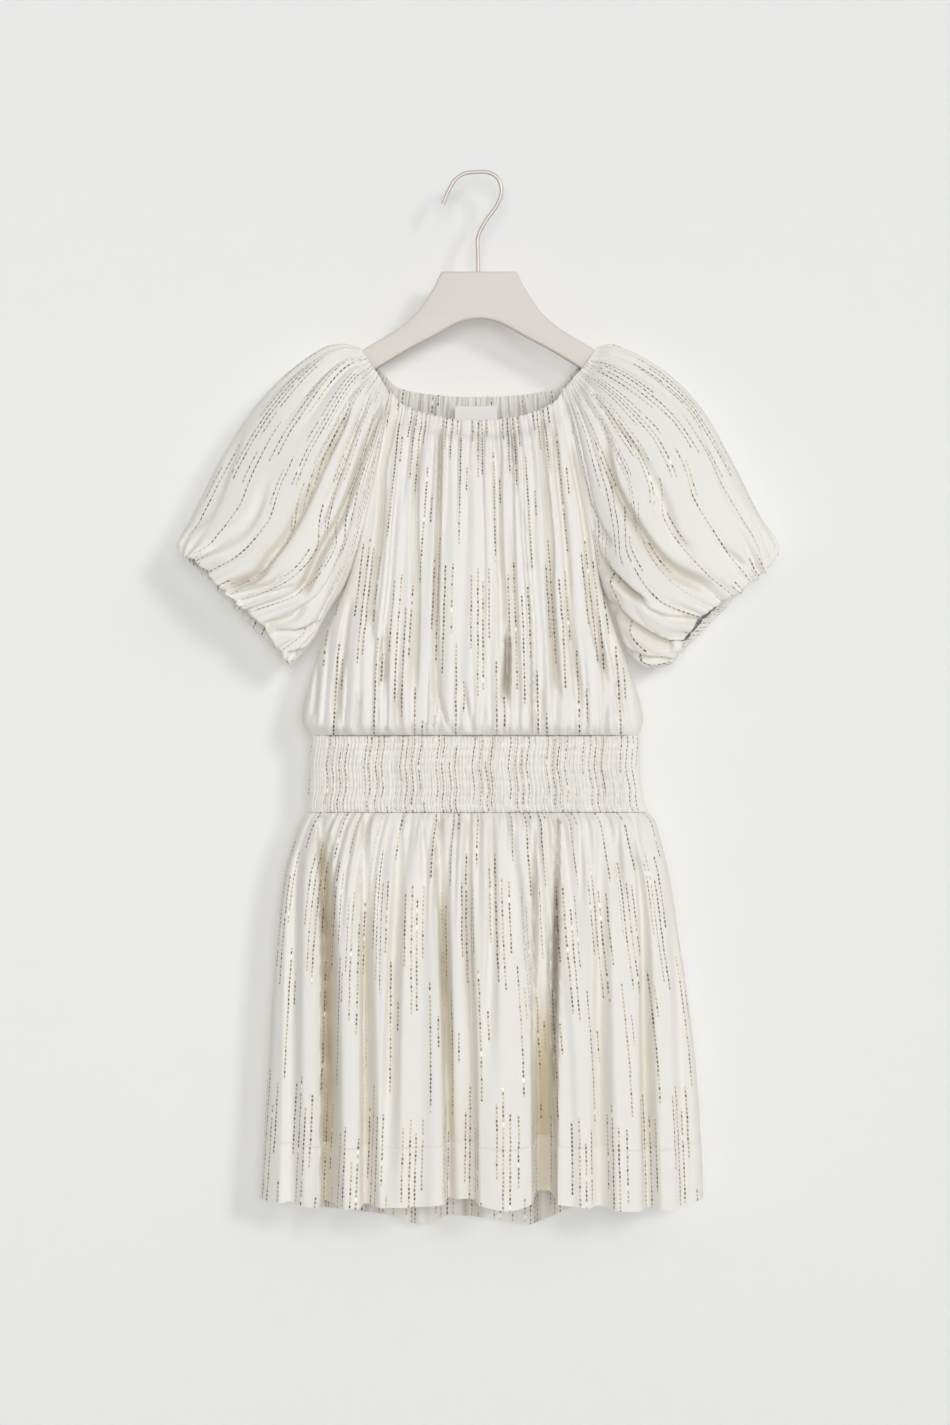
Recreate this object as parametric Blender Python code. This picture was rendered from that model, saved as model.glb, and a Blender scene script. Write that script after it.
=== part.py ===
"""A short dress with puff sleeves, hanging from a flat hanger, as sewn walls of cloth.

Metres, +Z up. The origin is the underside of the hook's wire, where the hook bears.
X runs across the dress and -Y is its front.
"""

import math

import bmesh
import bpy
import numpy as np

# Cloth
WALL = 0.0024
SEAM_GAP = 0.0003
HALF_SEAM = SEAM_GAP / 2
RAGLAN_GAP_X = 0.0004

# Columns of each panel, two for each gather
BODICE_COLUMNS = 44
WAIST_COLUMNS = 40
SKIRT_COLUMNS = 52
SLEEVE_COLUMNS = 28
EVEN_SHARE = 0.8

# How a section rounds off: the panel's crown, how the wall turns at a side seam,
# how much of its depth a trough may take, and how a sleeve's wall turns away from its seam
CROWN_POWER = 4
SIDE_TURN_POWER = 8
DEEPEST_SHARE = 0.8
SEAM_TURN_POWER = 3

# Shirred waist: elastic rows between the two waist seams
WAIST_TOP = -0.561
WAIST_FOOT = -0.638
ELASTIC_ROWS = 9
SHIRR_RIDGE = 0.0006
SHIRR_VALLEY = -0.0004
SHIRR_PINCH = -0.0007

# Double hem of the skirt
HEM_THICK = 0.0006

# Hanger and its hook
HANGER_THICK = 0.012
HANGER_ROUND = 0.0025
HOOK_WIRE = 0.004
STEM_X = -0.001
STEM_FOOT = -0.111
BORE_FOOT = -0.1115
BORE_GAP = 0.0004
BORE_CUTTER_LONG = 0.04

# Label and size tab inside the back of the neck
LABEL_X = (-0.024, 0.018)
LABEL_Z = (-0.247, -0.231)
TAB_X = (-0.014, 0.008)
TAB_Z = (-0.2553, -0.2473)
LABEL_THICK = 0.0010
LABEL_Y = 0.0152

IVORY = (0.86, 0.84, 0.78, 1)
LABEL_WHITE = (0.90, 0.89, 0.85, 1)
HANGER_BEIGE = (0.74, 0.68, 0.63, 1)
HOOK_BEIGE = (0.72, 0.67, 0.62, 1)

# Raglan seams from the neck to the underarm, then the two sides of the body
# edge_front and edge_back are how far the seam lies before and behind the middle plane
BODY_COLUMNS = (
    "level left right edge_front edge_back front back drop_front drop_back lift_back round turn gather"
).split()
BODICE_ROWS = (
    (-0.216, -0.0870, 0.0830, 0.0130, 0.0130, 0.0220, 0.0180, 0.029, 0.014, 0.008, 1.0, 0, 0.0008),
    (-0.225, -0.0885, 0.0850, 0.0145, 0.0140, 0.0225, 0.0185, 0.029, 0.014, 0.008, 1.0, 0, 0.0006),
    (-0.246, -0.0920, 0.0905, 0.0220, 0.0180, 0.0330, 0.0240, 0.024, 0.012, 0.007, 1.0, 0, 0.0020),
    (-0.290, -0.1000, 0.0990, 0.0280, 0.0220, 0.0390, 0.0270, 0.014, 0.008, 0.004, 0.9, 0, 0.0014),
    (-0.335, -0.1100, 0.1070, 0.0280, 0.0220, 0.0410, 0.0280, 0.006, 0.004, 0.001, 0.8, 0, 0.0007),
    (-0.378, -0.1210, 0.1155, 0.0200, 0.0160, 0.0410, 0.0280, 0.002, 0.001, 0.000, 0.6, 0, 0.0004),
    (-0.411, -0.1330, 0.1220, WALL, WALL, 0.0400, 0.0270, 0.0, 0.0, 0.0, 0.5, 0, 0.0004),
    (-0.445, -0.1480, 0.1330, 0, 0, 0.0400, 0.0270, 0.0, 0.0, 0.0, 0.5, 90, 0.0006),
    (-0.495, -0.1660, 0.1500, 0, 0, 0.0400, 0.0275, 0.0, 0.0, 0.0, 0.5, 90, 0.0012),
    (-0.546, -0.1775, 0.1640, 0, 0, 0.0395, 0.0285, 0.0, 0.0, 0.0, 0.5, 90, 0.0022),
    (WAIST_TOP, -0.1680, 0.1600, 0, 0, 0.0260, 0.0200, 0.0, 0.0, 0.0, 0.5, 90, 0.0008),
)
WAIST_ROWS = (
    (WAIST_TOP, -0.1680, 0.1600, 0, 0, 0.0260, 0.0200, 0, 0, 0, 0.5, 90, 0),
    (-0.600, -0.1700, 0.1610, 0, 0, 0.0265, 0.0205, 0, 0, 0, 0.5, 90, 0),
    (WAIST_FOOT, -0.1720, 0.1680, 0, 0, 0.0260, 0.0200, 0, 0, 0, 0.5, 90, 0),
)
SKIRT_ROWS = (
    (WAIST_FOOT, -0.1720, 0.1680, 0, 0, 0.0260, 0.0200, 0.0, 0.0, 0, 0.5, 90, 0.0008),
    (-0.645, -0.1770, 0.1750, 0, 0, 0.0310, 0.0240, 0.0, 0.0, 0, 0.5, 90, 0.0022),
    (-0.668, -0.1860, 0.1820, 0, 0, 0.0350, 0.0270, 0.0, 0.0, 0, 0.5, 90, 0.0028),
    (-0.705, -0.1955, 0.1910, 0, 0, 0.0380, 0.0290, 0.0, 0.0, 0, 0.5, 90, 0.0021),
    (-0.760, -0.2020, 0.1990, 0, 0, 0.0410, 0.0310, 0.001, 0.002, 0, 0.5, 90, 0.0010),
    (-0.825, -0.2070, 0.2090, 0, 0, 0.0430, 0.0320, 0.002, 0.006, 0, 0.5, 90, 0.0003),
    (-0.895, -0.2110, 0.2170, 0, 0, 0.0450, 0.0330, 0.003, 0.012, 0, 0.5, 90, 0),
    (-0.960, -0.2150, 0.2215, 0, 0, 0.0470, 0.0340, 0.004, 0.022, 0, 0.5, 90, 0),
    (-0.964, -0.2152, 0.2217, 0, 0, 0.0470, 0.0340, 0.004, 0.022, 0, 0.5, 90, 0),
    (-1.023, -0.2190, 0.2240, 0, 0, 0.0480, 0.0350, 0.005, 0.030, 0, 0.5, 90, 0),
)
HEM_ROW = 8

# Sleeves: the seam's rows above, met by the top of the sleeve, then the closed tube and the cuff
SLEEVE_COLUMNS_NAMED = "top_x top_z puff_front puff_back square gather".split()
SLEEVE_TOP_LEFT = (
    (-0.1195, -0.1725, 0.0136, 0.0136, 0.60, 0.0007),
    (-0.1285, -0.1715, 0.0165, 0.0160, 0.65, 0.0006),
    (-0.1460, -0.1720, 0.0270, 0.0220, 0.80, 0.0024),
    (-0.1840, -0.1930, 0.0400, 0.0330, 0.90, 0.0022),
    (-0.2260, -0.2330, 0.0480, 0.0380, 0.90, 0.0013),
    (-0.2600, -0.2840, 0.0520, 0.0400, 0.90, 0.0006),
    (-0.2830, -0.3290, 0.0520, 0.0400, 0.85, 0.0008),
    (-0.2940, -0.3520, 0.0470, 0.0360, 0.80, 0.0020),
    (-0.2990, -0.3660, 0.0380, 0.0300, 0.75, 0.0032),
    (-0.2970, -0.3740, 0.0260, 0.0200, 0.70, 0.0022),
    (-0.2980, -0.3810, 0.0290, 0.0230, 0.70, 0.0032),
)
SLEEVE_TOP_RIGHT = (
    (0.1185, -0.1725, 0.0136, 0.0136, 0.60, 0.0007),
    (0.1275, -0.1715, 0.0165, 0.0160, 0.65, 0.0006),
    (0.1460, -0.1760, 0.0270, 0.0220, 0.80, 0.0024),
    (0.1840, -0.1960, 0.0400, 0.0330, 0.90, 0.0022),
    (0.2235, -0.2330, 0.0480, 0.0380, 0.90, 0.0013),
    (0.2535, -0.2840, 0.0520, 0.0400, 0.90, 0.0006),
    (0.2740, -0.3250, 0.0520, 0.0400, 0.85, 0.0008),
    (0.2870, -0.3500, 0.0470, 0.0360, 0.80, 0.0020),
    (0.2950, -0.3640, 0.0380, 0.0300, 0.75, 0.0032),
    (0.2960, -0.3730, 0.0260, 0.0200, 0.70, 0.0022),
    (0.2980, -0.3810, 0.0290, 0.0230, 0.70, 0.0032),
)
UNDERARM_ROW = 6
# Underarm seam of each sleeve below the underarm point, across and height
UNDER_SEAM_LEFT = ((-0.1510, -0.440), (-0.1650, -0.466), (-0.1800, -0.482), (-0.1870, -0.490))
UNDER_SEAM_RIGHT = ((0.1345, -0.440), (0.1470, -0.476), (0.1700, -0.494), (0.1900, -0.490))

# Large folds: troughs that sink into a panel, from their top to their foot
# fade_top and fade_foot are the shares of the length over which the trough starts and ends
FOLD_COLUMNS = "top_x top_z foot_x foot_z top_width foot_width depth fade_top fade_foot".split()
BODICE_FRONT_FOLDS = (
    (-0.086, -0.250, -0.107, -0.480, 0.010, 0.013, 0.011, 0.25, 0.30),
    (-0.062, -0.262, -0.068, -0.553, 0.012, 0.016, 0.008, 0.30, 0.10),
    (-0.040, -0.255, -0.043, -0.553, 0.011, 0.015, 0.011, 0.25, 0.10),
    (-0.094, -0.430, -0.100, -0.553, 0.010, 0.012, 0.007, 0.40, 0.10),
    (-0.136, -0.450, -0.140, -0.553, 0.011, 0.012, 0.009, 0.50, 0.10),
    (-0.001, -0.255, 0.002, -0.345, 0.011, 0.011, 0.006, 0.30, 0.50),
    (0.018, -0.360, 0.025, -0.553, 0.012, 0.015, 0.016, 0.50, 0.10),
    (0.076, -0.255, 0.076, -0.500, 0.011, 0.013, 0.009, 0.25, 0.40),
    (0.083, -0.480, 0.083, -0.553, 0.011, 0.012, 0.006, 0.40, 0.10),
    (0.086, -0.262, 0.132, -0.553, 0.010, 0.014, 0.009, 0.40, 0.10),
)
BODICE_BACK_FOLDS = (
    (-0.072, -0.240, -0.088, -0.500, 0.011, 0.014, 0.007, 0.30, 0.30),
    (-0.033, -0.240, -0.041, -0.553, 0.012, 0.015, 0.008, 0.30, 0.10),
    (0.008, -0.300, 0.010, -0.553, 0.012, 0.015, 0.009, 0.50, 0.10),
    (0.045, -0.240, 0.050, -0.460, 0.011, 0.014, 0.008, 0.25, 0.40),
    (0.074, -0.250, 0.104, -0.553, 0.011, 0.014, 0.007, 0.40, 0.10),
    (-0.120, -0.440, -0.128, -0.553, 0.012, 0.013, 0.007, 0.50, 0.10),
)
SKIRT_FRONT_FOLDS = (
    (-0.158, -0.655, -0.154, -1.060, 0.009, 0.016, 0.022, 0.45, 0.0),
    (-0.117, -0.655, -0.117, -1.060, 0.009, 0.014, 0.014, 0.40, 0.0),
    (-0.079, -0.655, -0.077, -1.060, 0.010, 0.018, 0.011, 0.35, 0.0),
    (-0.042, -0.655, -0.019, -1.060, 0.012, 0.028, 0.014, 0.30, 0.0),
    (-0.009, -0.650, -0.004, -0.900, 0.009, 0.013, 0.009, 0.30, 0.5),
    (0.013, -0.650, 0.022, -0.860, 0.009, 0.012, 0.008, 0.30, 0.5),
    (0.054, -0.650, 0.066, -1.060, 0.010, 0.019, 0.026, 0.40, 0.0),
    (0.086, -0.660, 0.094, -0.960, 0.010, 0.014, 0.008, 0.35, 0.5),
    (0.121, -0.655, 0.121, -1.060, 0.011, 0.022, 0.010, 0.35, 0.0),
    (0.156, -0.655, 0.172, -1.060, 0.011, 0.018, 0.009, 0.35, 0.0),
)
SKIRT_BACK_FOLDS = (
    (-0.150, -0.655, -0.160, -1.080, 0.010, 0.018, 0.012, 0.35, 0.0),
    (-0.104, -0.655, -0.110, -1.080, 0.010, 0.019, 0.015, 0.40, 0.0),
    (-0.062, -0.655, -0.058, -1.080, 0.010, 0.022, 0.011, 0.30, 0.0),
    (-0.018, -0.655, -0.010, -1.080, 0.010, 0.018, 0.016, 0.40, 0.0),
    (0.024, -0.650, 0.034, -0.950, 0.010, 0.014, 0.008, 0.30, 0.5),
    (0.060, -0.655, 0.066, -1.080, 0.010, 0.020, 0.014, 0.35, 0.0),
    (0.104, -0.655, 0.116, -1.080, 0.011, 0.020, 0.012, 0.35, 0.0),
    (0.148, -0.655, 0.166, -1.080, 0.010, 0.017, 0.010, 0.35, 0.0),
)

# Sleeve folds run from neck to cuff: place from the seam, 0, to the sleeve's top, 1
# Places past 1 lie on the back, counted on to 2 at the back seam
# A trough starts and ends over these shares of its length
SLEEVE_FOLD_COLUMNS = "at_neck at_cuff half_width depth first_row last_row".split()
SLEEVE_FOLD_START = 0.35
SLEEVE_FOLD_END = 0.25
SLEEVE_LEFT_FOLDS = (
    (0.20, 0.16, 0.100, 0.018, 1.5, 9.0),
    (0.41, 0.46, 0.095, 0.015, 2.0, 9.2),
    (0.30, 0.31, 0.070, 0.009, 4.5, 9.4),
    (0.64, 0.68, 0.080, 0.008, 5.0, 9.4),
    (1.30, 1.38, 0.100, 0.010, 2.0, 9.0),
    (1.62, 1.60, 0.100, 0.014, 2.0, 9.0),
    (1.83, 1.80, 0.080, 0.010, 4.0, 9.2),
)
SLEEVE_RIGHT_FOLDS = (
    (0.22, 0.42, 0.100, 0.018, 1.5, 9.0),
    (0.10, 0.19, 0.080, 0.013, 3.0, 9.2),
    (0.44, 0.62, 0.090, 0.011, 2.5, 9.2),
    (0.74, 0.80, 0.070, 0.007, 5.0, 9.4),
    (1.28, 1.33, 0.100, 0.010, 2.0, 9.0),
    (1.58, 1.62, 0.100, 0.014, 2.0, 9.0),
    (1.84, 1.82, 0.080, 0.010, 4.0, 9.2),
)

# Right half of the hanger's outline, across and height, from the top's middle round to the arch's
HANGER_HALF = (
    (0.000, -0.0980, "VECTOR"),
    (0.0375, -0.0980, "VECTOR"),
    (0.0480, -0.1185, "AUTO"),
    (0.0680, -0.1445, "AUTO"),
    (0.1175, -0.1774, "AUTO"),
    (0.1840, -0.2240, "AUTO"),
    (0.1975, -0.2390, "AUTO"),
    (0.1830, -0.2460, "AUTO"),
    (0.1040, -0.1960, "AUTO"),
    (0.0520, -0.1660, "AUTO"),
    (0.000, -0.1450, "AUTO"),
)
HANGER_STEPS = 3

# The hook's wire, across and height of its middle line, from the stem to the open tip
HOOK_PATH = (
    (STEM_X, STEM_FOOT),
    (STEM_X, -0.080),
    (STEM_X, -0.064),
    (0.0055, -0.049),
    (0.0175, -0.032),
    (0.0225, -0.018),
    (0.0195, -0.0055),
    (0.0110, 0.0010),
    (0.0000, 0.0020),
    (-0.0140, 0.0005),
    (-0.0240, -0.0060),
    (-0.0310, -0.0180),
    (-0.0360, -0.0300),
)


def material(name, colour, roughness, metallic=0.0):
    """A plain Principled material."""
    made = bpy.data.materials.new(name)
    made.use_nodes = True
    shader = made.node_tree.nodes["Principled BSDF"]
    shader.inputs["Base Color"].default_value = colour
    shader.inputs["Roughness"].default_value = roughness
    shader.inputs["Metallic"].default_value = metallic
    made.diffuse_color = colour
    return made


def columns_of(names, rows):
    """The columns of a table, by name."""
    values = np.array(rows, float)
    return {name: values[:, i] for i, name in enumerate(names)}


def smooth(share):
    """A soft step from 0 to 1."""
    share = np.clip(share, 0, 1)
    return share * share * (3 - 2 * share)


def spread(columns):
    """Places across a panel from -1 to 1, a little closer together at its two sides."""
    even = np.linspace(-1, 1, columns + 1)
    return EVEN_SHARE * even + (1 - EVEN_SHARE) * np.sin(even * math.pi / 2)


def gather_wave(columns):
    """Every second column stands out and the next sinks in, dying away at the two seams."""
    wave = np.where(np.arange(columns + 1) % 2 == 0, -1.0, 1.0)
    wave[[0, -1]] = 0
    wave[[1, -2]] *= 0.5
    return wave


def trough(across, height, folds):
    """How deep the folds' troughs sink the cloth at each point."""
    sunk = np.zeros_like(across)
    for row in folds:
        fold = dict(zip(FOLD_COLUMNS, row))
        run = (fold["top_z"] - height) / (fold["top_z"] - fold["foot_z"])
        middle = fold["top_x"] + (fold["foot_x"] - fold["top_x"]) * run
        half_width = fold["top_width"] + (fold["foot_width"] - fold["top_width"]) * np.clip(run, 0, 1)
        aside = np.clip(np.abs(across - middle) / half_width, 0, 1)
        begun = smooth(run / fold["fade_top"])
        ended = smooth((1 - run) / max(fold["fade_foot"], 0.001))
        sunk = np.maximum(sunk, fold["depth"] * (1 - aside**2) ** 2 * begun * ended)
    return sunk


def stitch(bm, first, second):
    """Join two borders that run the same way by a strip of triangles."""
    i = j = 0
    while i < len(first) - 1 or j < len(second) - 1:
        next_first = (i + 1) / (len(first) - 1)
        next_second = (j + 1) / (len(second) - 1)
        if j == len(second) - 1 or (i < len(first) - 1 and next_first <= next_second):
            bm.faces.new((first[i], first[i + 1], second[j]))
            i += 1
        else:
            bm.faces.new((first[i], second[j + 1], second[j]))
            j += 1


def sheet_faces(bm, verts, points, diagonals=None):
    """Triangles over one grid. The diagonals can be those of the wall's other side."""
    chosen = {}
    for r in range(len(verts) - 1):
        for c in range(len(verts[0]) - 1):
            corners = (verts[r][c], verts[r + 1][c], verts[r + 1][c + 1], verts[r][c + 1])
            if diagonals is None:
                down = np.linalg.norm(points[r, c] - points[r + 1, c + 1])
                up = np.linalg.norm(points[r + 1, c] - points[r, c + 1])
                falling = bool(down <= up)
            else:
                falling = diagonals[r, c]
            chosen[r, c] = falling
            turn = 0 if falling else 1
            a, b, d, e = (corners[(turn + k) % 4] for k in range(4))
            bm.faces.new((a, b, d))
            bm.faces.new((a, d, e))
    return chosen


def cloth_wall(name, outer, inner, finish, home):
    """Close an outer and an inner grid of points into one walled sheet of cloth."""
    bm = bmesh.new()
    out = [[bm.verts.new(point) for point in row] for row in outer]
    into = [[bm.verts.new(point) for point in row] for row in inner]
    diagonals = sheet_faces(bm, out, outer)
    sheet_faces(bm, into, inner, diagonals if inner.shape == outer.shape else None)
    stitch(bm, out[0], into[0])
    stitch(bm, out[-1], into[-1])
    stitch(bm, [row[0] for row in out], [row[0] for row in into])
    stitch(bm, [row[-1] for row in out], [row[-1] for row in into])
    bmesh.ops.recalc_face_normals(bm, faces=bm.faces)
    if bm.calc_volume(signed=True) < 0:
        bmesh.ops.reverse_faces(bm, faces=bm.faces)
    mesh = bpy.data.meshes.new(name)
    bm.to_mesh(mesh)
    bm.free()
    mesh.materials.append(finish)
    home.objects.link(bpy.data.objects.new(name, mesh))


def panel_points(rows, columns, folds, facing, relief=None, seam_shift=0.0):
    """Outer and inner points of a body panel. facing is -1 for the front and 1 for the back."""
    table = columns_of(BODY_COLUMNS, rows)
    side = "front" if facing < 0 else "back"
    place = spread(columns)
    wave = gather_wave(columns)
    outer = np.zeros((len(rows), columns + 1, 3))
    inner = np.zeros_like(outer)
    for r in range(len(rows)):
        left, right = table["left"][r] + seam_shift, table["right"][r] - seam_shift
        x = (left + right) / 2 + (right - left) / 2 * place
        lift = table["lift_back"][r] if facing > 0 else 0.0
        z = table["level"][r] + lift - table["drop_" + side][r] * np.sqrt(1 - place**2)
        edge = table["edge_" + side][r] + HALF_SEAM
        swell = (table[side][r] - edge) * (1 - np.abs(place) ** CROWN_POWER) ** table["round"][r]
        sunk = np.minimum(trough(x, z, folds), DEEPEST_SHARE * swell)
        proud = edge + swell - sunk + wave * table["gather"][r]
        if relief is not None:
            proud = proud + relief[r]
        turn = math.radians(table["turn"][r]) * np.abs(place) ** SIDE_TURN_POWER
        outer[r] = np.stack([x, facing * proud, z], axis=1)
        inner[r, :, 0] = x - np.sign(place) * np.sin(turn) * WALL
        inner[r, :, 1] = facing * (proud - np.cos(turn) * WALL)
        inner[r, :, 2] = z
    return outer, inner


def between(rows, levels):
    """The table's rows at other levels, in straight lines between its own."""
    values = np.array(rows, float)
    fall = -values[:, 0]
    return [
        [np.interp(-level, fall, values[:, c]) for c in range(values.shape[1])] for level in levels
    ]


def end_levels(rows):
    """The same table with its first and last row half a seam inside it."""
    shifted = [list(row) for row in rows]
    shifted[0][0] -= HALF_SEAM
    shifted[-1][0] += HALF_SEAM
    return shifted


def bodice(facing, folds, name, finish, home):
    """One bodice panel, gathered at the neck and the waist."""
    rows = [list(row) for row in BODICE_ROWS]
    rows[-1][0] += HALF_SEAM
    outer, inner = panel_points(rows, BODICE_COLUMNS, folds, facing, seam_shift=RAGLAN_GAP_X / 2)
    cloth_wall(name, outer, inner, finish, home)


def waist(facing, name, finish, home):
    """One shirred waist panel: ridges pinched by each elastic row, over a plain inside."""
    table = end_levels(WAIST_ROWS)
    steps = 2 * (ELASTIC_ROWS + 1)
    levels = np.linspace(table[0][0], table[-1][0], steps + 1)
    gathers = np.where(np.arange(WAIST_COLUMNS + 1) % 2 == 0, SHIRR_VALLEY, SHIRR_RIDGE)
    elastic = np.where(np.arange(steps + 1) % 2 == 0, SHIRR_PINCH, 0.0)
    relief = np.add.outer(elastic, gathers)
    relief[:, [0, -1]] = 0
    outer, _ = panel_points(between(table, levels), WAIST_COLUMNS, (), facing, relief)
    _, inner = panel_points(table, WAIST_COLUMNS, (), facing)
    cloth_wall(name, outer, inner, finish, home)


def skirt(facing, folds, name, finish, home):
    """One skirt panel, gathered at its top and doubled by a deep hem at its foot."""
    rows = [list(row) for row in SKIRT_ROWS]
    rows[0][0] -= HALF_SEAM
    relief = np.zeros((len(rows), SKIRT_COLUMNS + 1))
    relief[HEM_ROW:, 1:-1] = HEM_THICK
    outer, _ = panel_points(rows, SKIRT_COLUMNS, folds, facing, relief)
    _, inner = panel_points(rows, SKIRT_COLUMNS, folds, facing)
    cloth_wall(name, outer, inner, finish, home)


def sleeve_fold(row, place, folds):
    """How deep the sleeve's troughs sink at this row, for places from seam to top to seam."""
    sunk = np.zeros_like(place)
    for values in folds:
        fold = dict(zip(SLEEVE_FOLD_COLUMNS, values))
        run = (row - fold["first_row"]) / (fold["last_row"] - fold["first_row"])
        middle = fold["at_neck"] + (fold["at_cuff"] - fold["at_neck"]) * min(max(run, 0), 1)
        aside = np.clip(np.abs(place - middle) / fold["half_width"], 0, 1)
        strength = smooth(run / SLEEVE_FOLD_START) * smooth((1 - run) / SLEEVE_FOLD_END)
        sunk = np.maximum(sunk, fold["depth"] * (1 - aside**2) ** 2 * strength)
    return sunk


def half_section(seam, seam_depth, top, puff, square, miter, columns):
    """Points and outward directions from a seam to the sleeve's top, for the half at +depth."""
    start = math.asin(min(1.0, (seam_depth / puff) ** (1 / square)))
    angle = np.linspace(start, math.pi, columns + 1)
    place = (math.cos(start) - np.cos(angle)) / (math.cos(start) + 1)
    reach = np.array(top) - np.array(seam)
    length = np.linalg.norm(reach)
    along = reach / length
    depth = puff * np.clip(np.sin(angle), 0, 1) ** square
    lean = np.arctan2(np.sin(angle) * length / 2, -np.cos(angle) * puff)
    lean += (miter - lean[0]) * (1 - (angle - start) / (math.pi - start)) ** SEAM_TURN_POWER
    return place, np.array(seam) + place[:, None] * reach, depth, along, lean


def sleeve(raglan, tops, under_seam, outward, folds, name, finish, home):
    """One sleeve, from the neck down the raglan seams, closed below the arm, to its cuff."""
    body = columns_of(BODY_COLUMNS, BODICE_ROWS)
    top = columns_of(SLEEVE_COLUMNS_NAMED, tops)
    half = SLEEVE_COLUMNS // 2
    wave = gather_wave(SLEEVE_COLUMNS)
    outer = np.zeros((len(tops), SLEEVE_COLUMNS + 1, 3))
    inner = np.zeros_like(outer)
    for r in range(len(tops)):
        open_row = r <= UNDERARM_ROW
        seam_x, seam_z = (body[raglan][r], body["level"][r]) if open_row else under_seam[r - UNDERARM_ROW - 1]
        seam_x += outward * RAGLAN_GAP_X / 2
        miter = math.pi / 2 if open_row else math.pi
        for facing, side in ((-1, "front"), (1, "back")):
            seam_depth = (body["edge_" + side][r] if open_row else 0.0) + HALF_SEAM
            lift = body["lift_back"][r] if open_row and facing > 0 else 0.0
            place, across, depth, along, lean = half_section(
                (seam_x, seam_z + lift),
                seam_depth,
                (top["top_x"][r], top["top_z"][r]),
                top["puff_" + side][r],
                top["square"][r],
                miter,
                half,
            )
            where = place if facing < 0 else 2 - place
            waves = wave[: half + 1] if facing < 0 else wave[half:][::-1]
            move = waves * top["gather"][r] - sleeve_fold(r, where, folds)
            out_along = np.cos(lean)
            out_depth = np.sin(lean)
            outside = across + (out_along * move)[:, None] * along
            y_out = depth + out_depth * move
            inside = outside - (out_along * WALL)[:, None] * along
            y_in = y_out - out_depth * WALL
            span = slice(0, half + 1) if facing < 0 else slice(SLEEVE_COLUMNS, half - 1, -1)
            outer[r, span] = np.stack([outside[:, 0], facing * y_out, outside[:, 1]], axis=1)
            inner[r, span] = np.stack([inside[:, 0], facing * y_in, inside[:, 1]], axis=1)
    cloth_wall(name, outer, inner, finish, home)


def slab(name, x_span, y_span, z_span, finish, home):
    """A thin flat piece between two corners."""
    spans = (x_span, y_span, z_span)
    bpy.ops.mesh.primitive_cube_add(size=1, location=[sum(span) / 2 for span in spans])
    piece = bpy.context.object
    piece.name = name
    piece.data.name = name
    piece.scale = [span[1] - span[0] for span in spans]
    bpy.ops.object.transform_apply(location=False, rotation=False, scale=True)
    piece.data.materials.append(finish)
    for other in piece.users_collection:
        other.objects.unlink(piece)
    home.objects.link(piece)


def curve_to_mesh(curve_object, home):
    """Replace a curve object by a mesh of the same form, with its caps welded on."""
    graph = bpy.context.evaluated_depsgraph_get()
    mesh = bpy.data.meshes.new_from_object(curve_object.evaluated_get(graph))
    bm = bmesh.new()
    bm.from_mesh(mesh)
    bmesh.ops.remove_doubles(bm, verts=bm.verts, dist=0.00001)
    bmesh.ops.recalc_face_normals(bm, faces=bm.faces)
    bm.to_mesh(mesh)
    bm.free()
    piece = bpy.data.objects.new(curve_object.name + "_mesh", mesh)
    piece.matrix_world = curve_object.matrix_world.copy()
    home.objects.link(piece)
    name = curve_object.name
    bpy.data.objects.remove(curve_object)
    piece.name = name
    mesh.name = name
    return piece


def hanger_body(finish, home, cutters):
    """The flat hanger: its outline mirrored, with rounded edges and a bore for the hook's stem."""
    curve = bpy.data.curves.new("hanger_body", "CURVE")
    curve.dimensions = "2D"
    curve.fill_mode = "BOTH"
    curve.extrude = HANGER_THICK / 2 - HANGER_ROUND
    curve.bevel_depth = HANGER_ROUND
    curve.bevel_resolution = 1
    curve.offset = -HANGER_ROUND
    curve.resolution_u = HANGER_STEPS
    left_half = [(-x, z, kind) for x, z, kind in HANGER_HALF[-2:0:-1]]
    outline = list(HANGER_HALF) + left_half
    spline = curve.splines.new("BEZIER")
    spline.bezier_points.add(len(outline) - 1)
    for point, (x, z, kind) in zip(spline.bezier_points, outline):
        point.co = (x, z, 0)
        point.handle_left_type = kind
        point.handle_right_type = kind
    spline.use_cyclic_u = True
    shape = bpy.data.objects.new("hanger_body", curve)
    shape.rotation_euler = (math.pi / 2, 0, 0)
    home.objects.link(shape)
    bpy.context.view_layer.update()
    piece = curve_to_mesh(shape, home)
    piece.data.materials.clear()
    piece.data.materials.append(finish)

    bpy.ops.mesh.primitive_cylinder_add(
        vertices=12,
        radius=HOOK_WIRE / 2 + BORE_GAP,
        depth=BORE_CUTTER_LONG,
        location=(STEM_X, 0, BORE_FOOT + BORE_CUTTER_LONG / 2),
    )
    cutter = bpy.context.object
    cutter.name = "stem_bore"
    for other in cutter.users_collection:
        other.objects.unlink(cutter)
    cutters.objects.link(cutter)
    cutter.hide_render = True
    cutter.display_type = "WIRE"
    bore = piece.modifiers.new("stem_bore", "BOOLEAN")
    bore.operation = "DIFFERENCE"
    bore.object = cutter


def through_points(points, steps):
    """A smooth curve through the points, with a few steps between each two."""
    points = np.array(points, float)
    padded = np.vstack([2 * points[0] - points[1], points, 2 * points[-1] - points[-2]])
    found = []
    for k in range(len(points) - 1):
        a, b, c, d = padded[k : k + 4]
        for t in np.arange(steps) / steps:
            bend = (2 * a - 5 * b + 4 * c - d) * t**2 + (3 * b - a - 3 * c + d) * t**3
            found.append(0.5 * (2 * b + (c - a) * t + bend))
    found.append(points[-1])
    return np.array(found)


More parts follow.
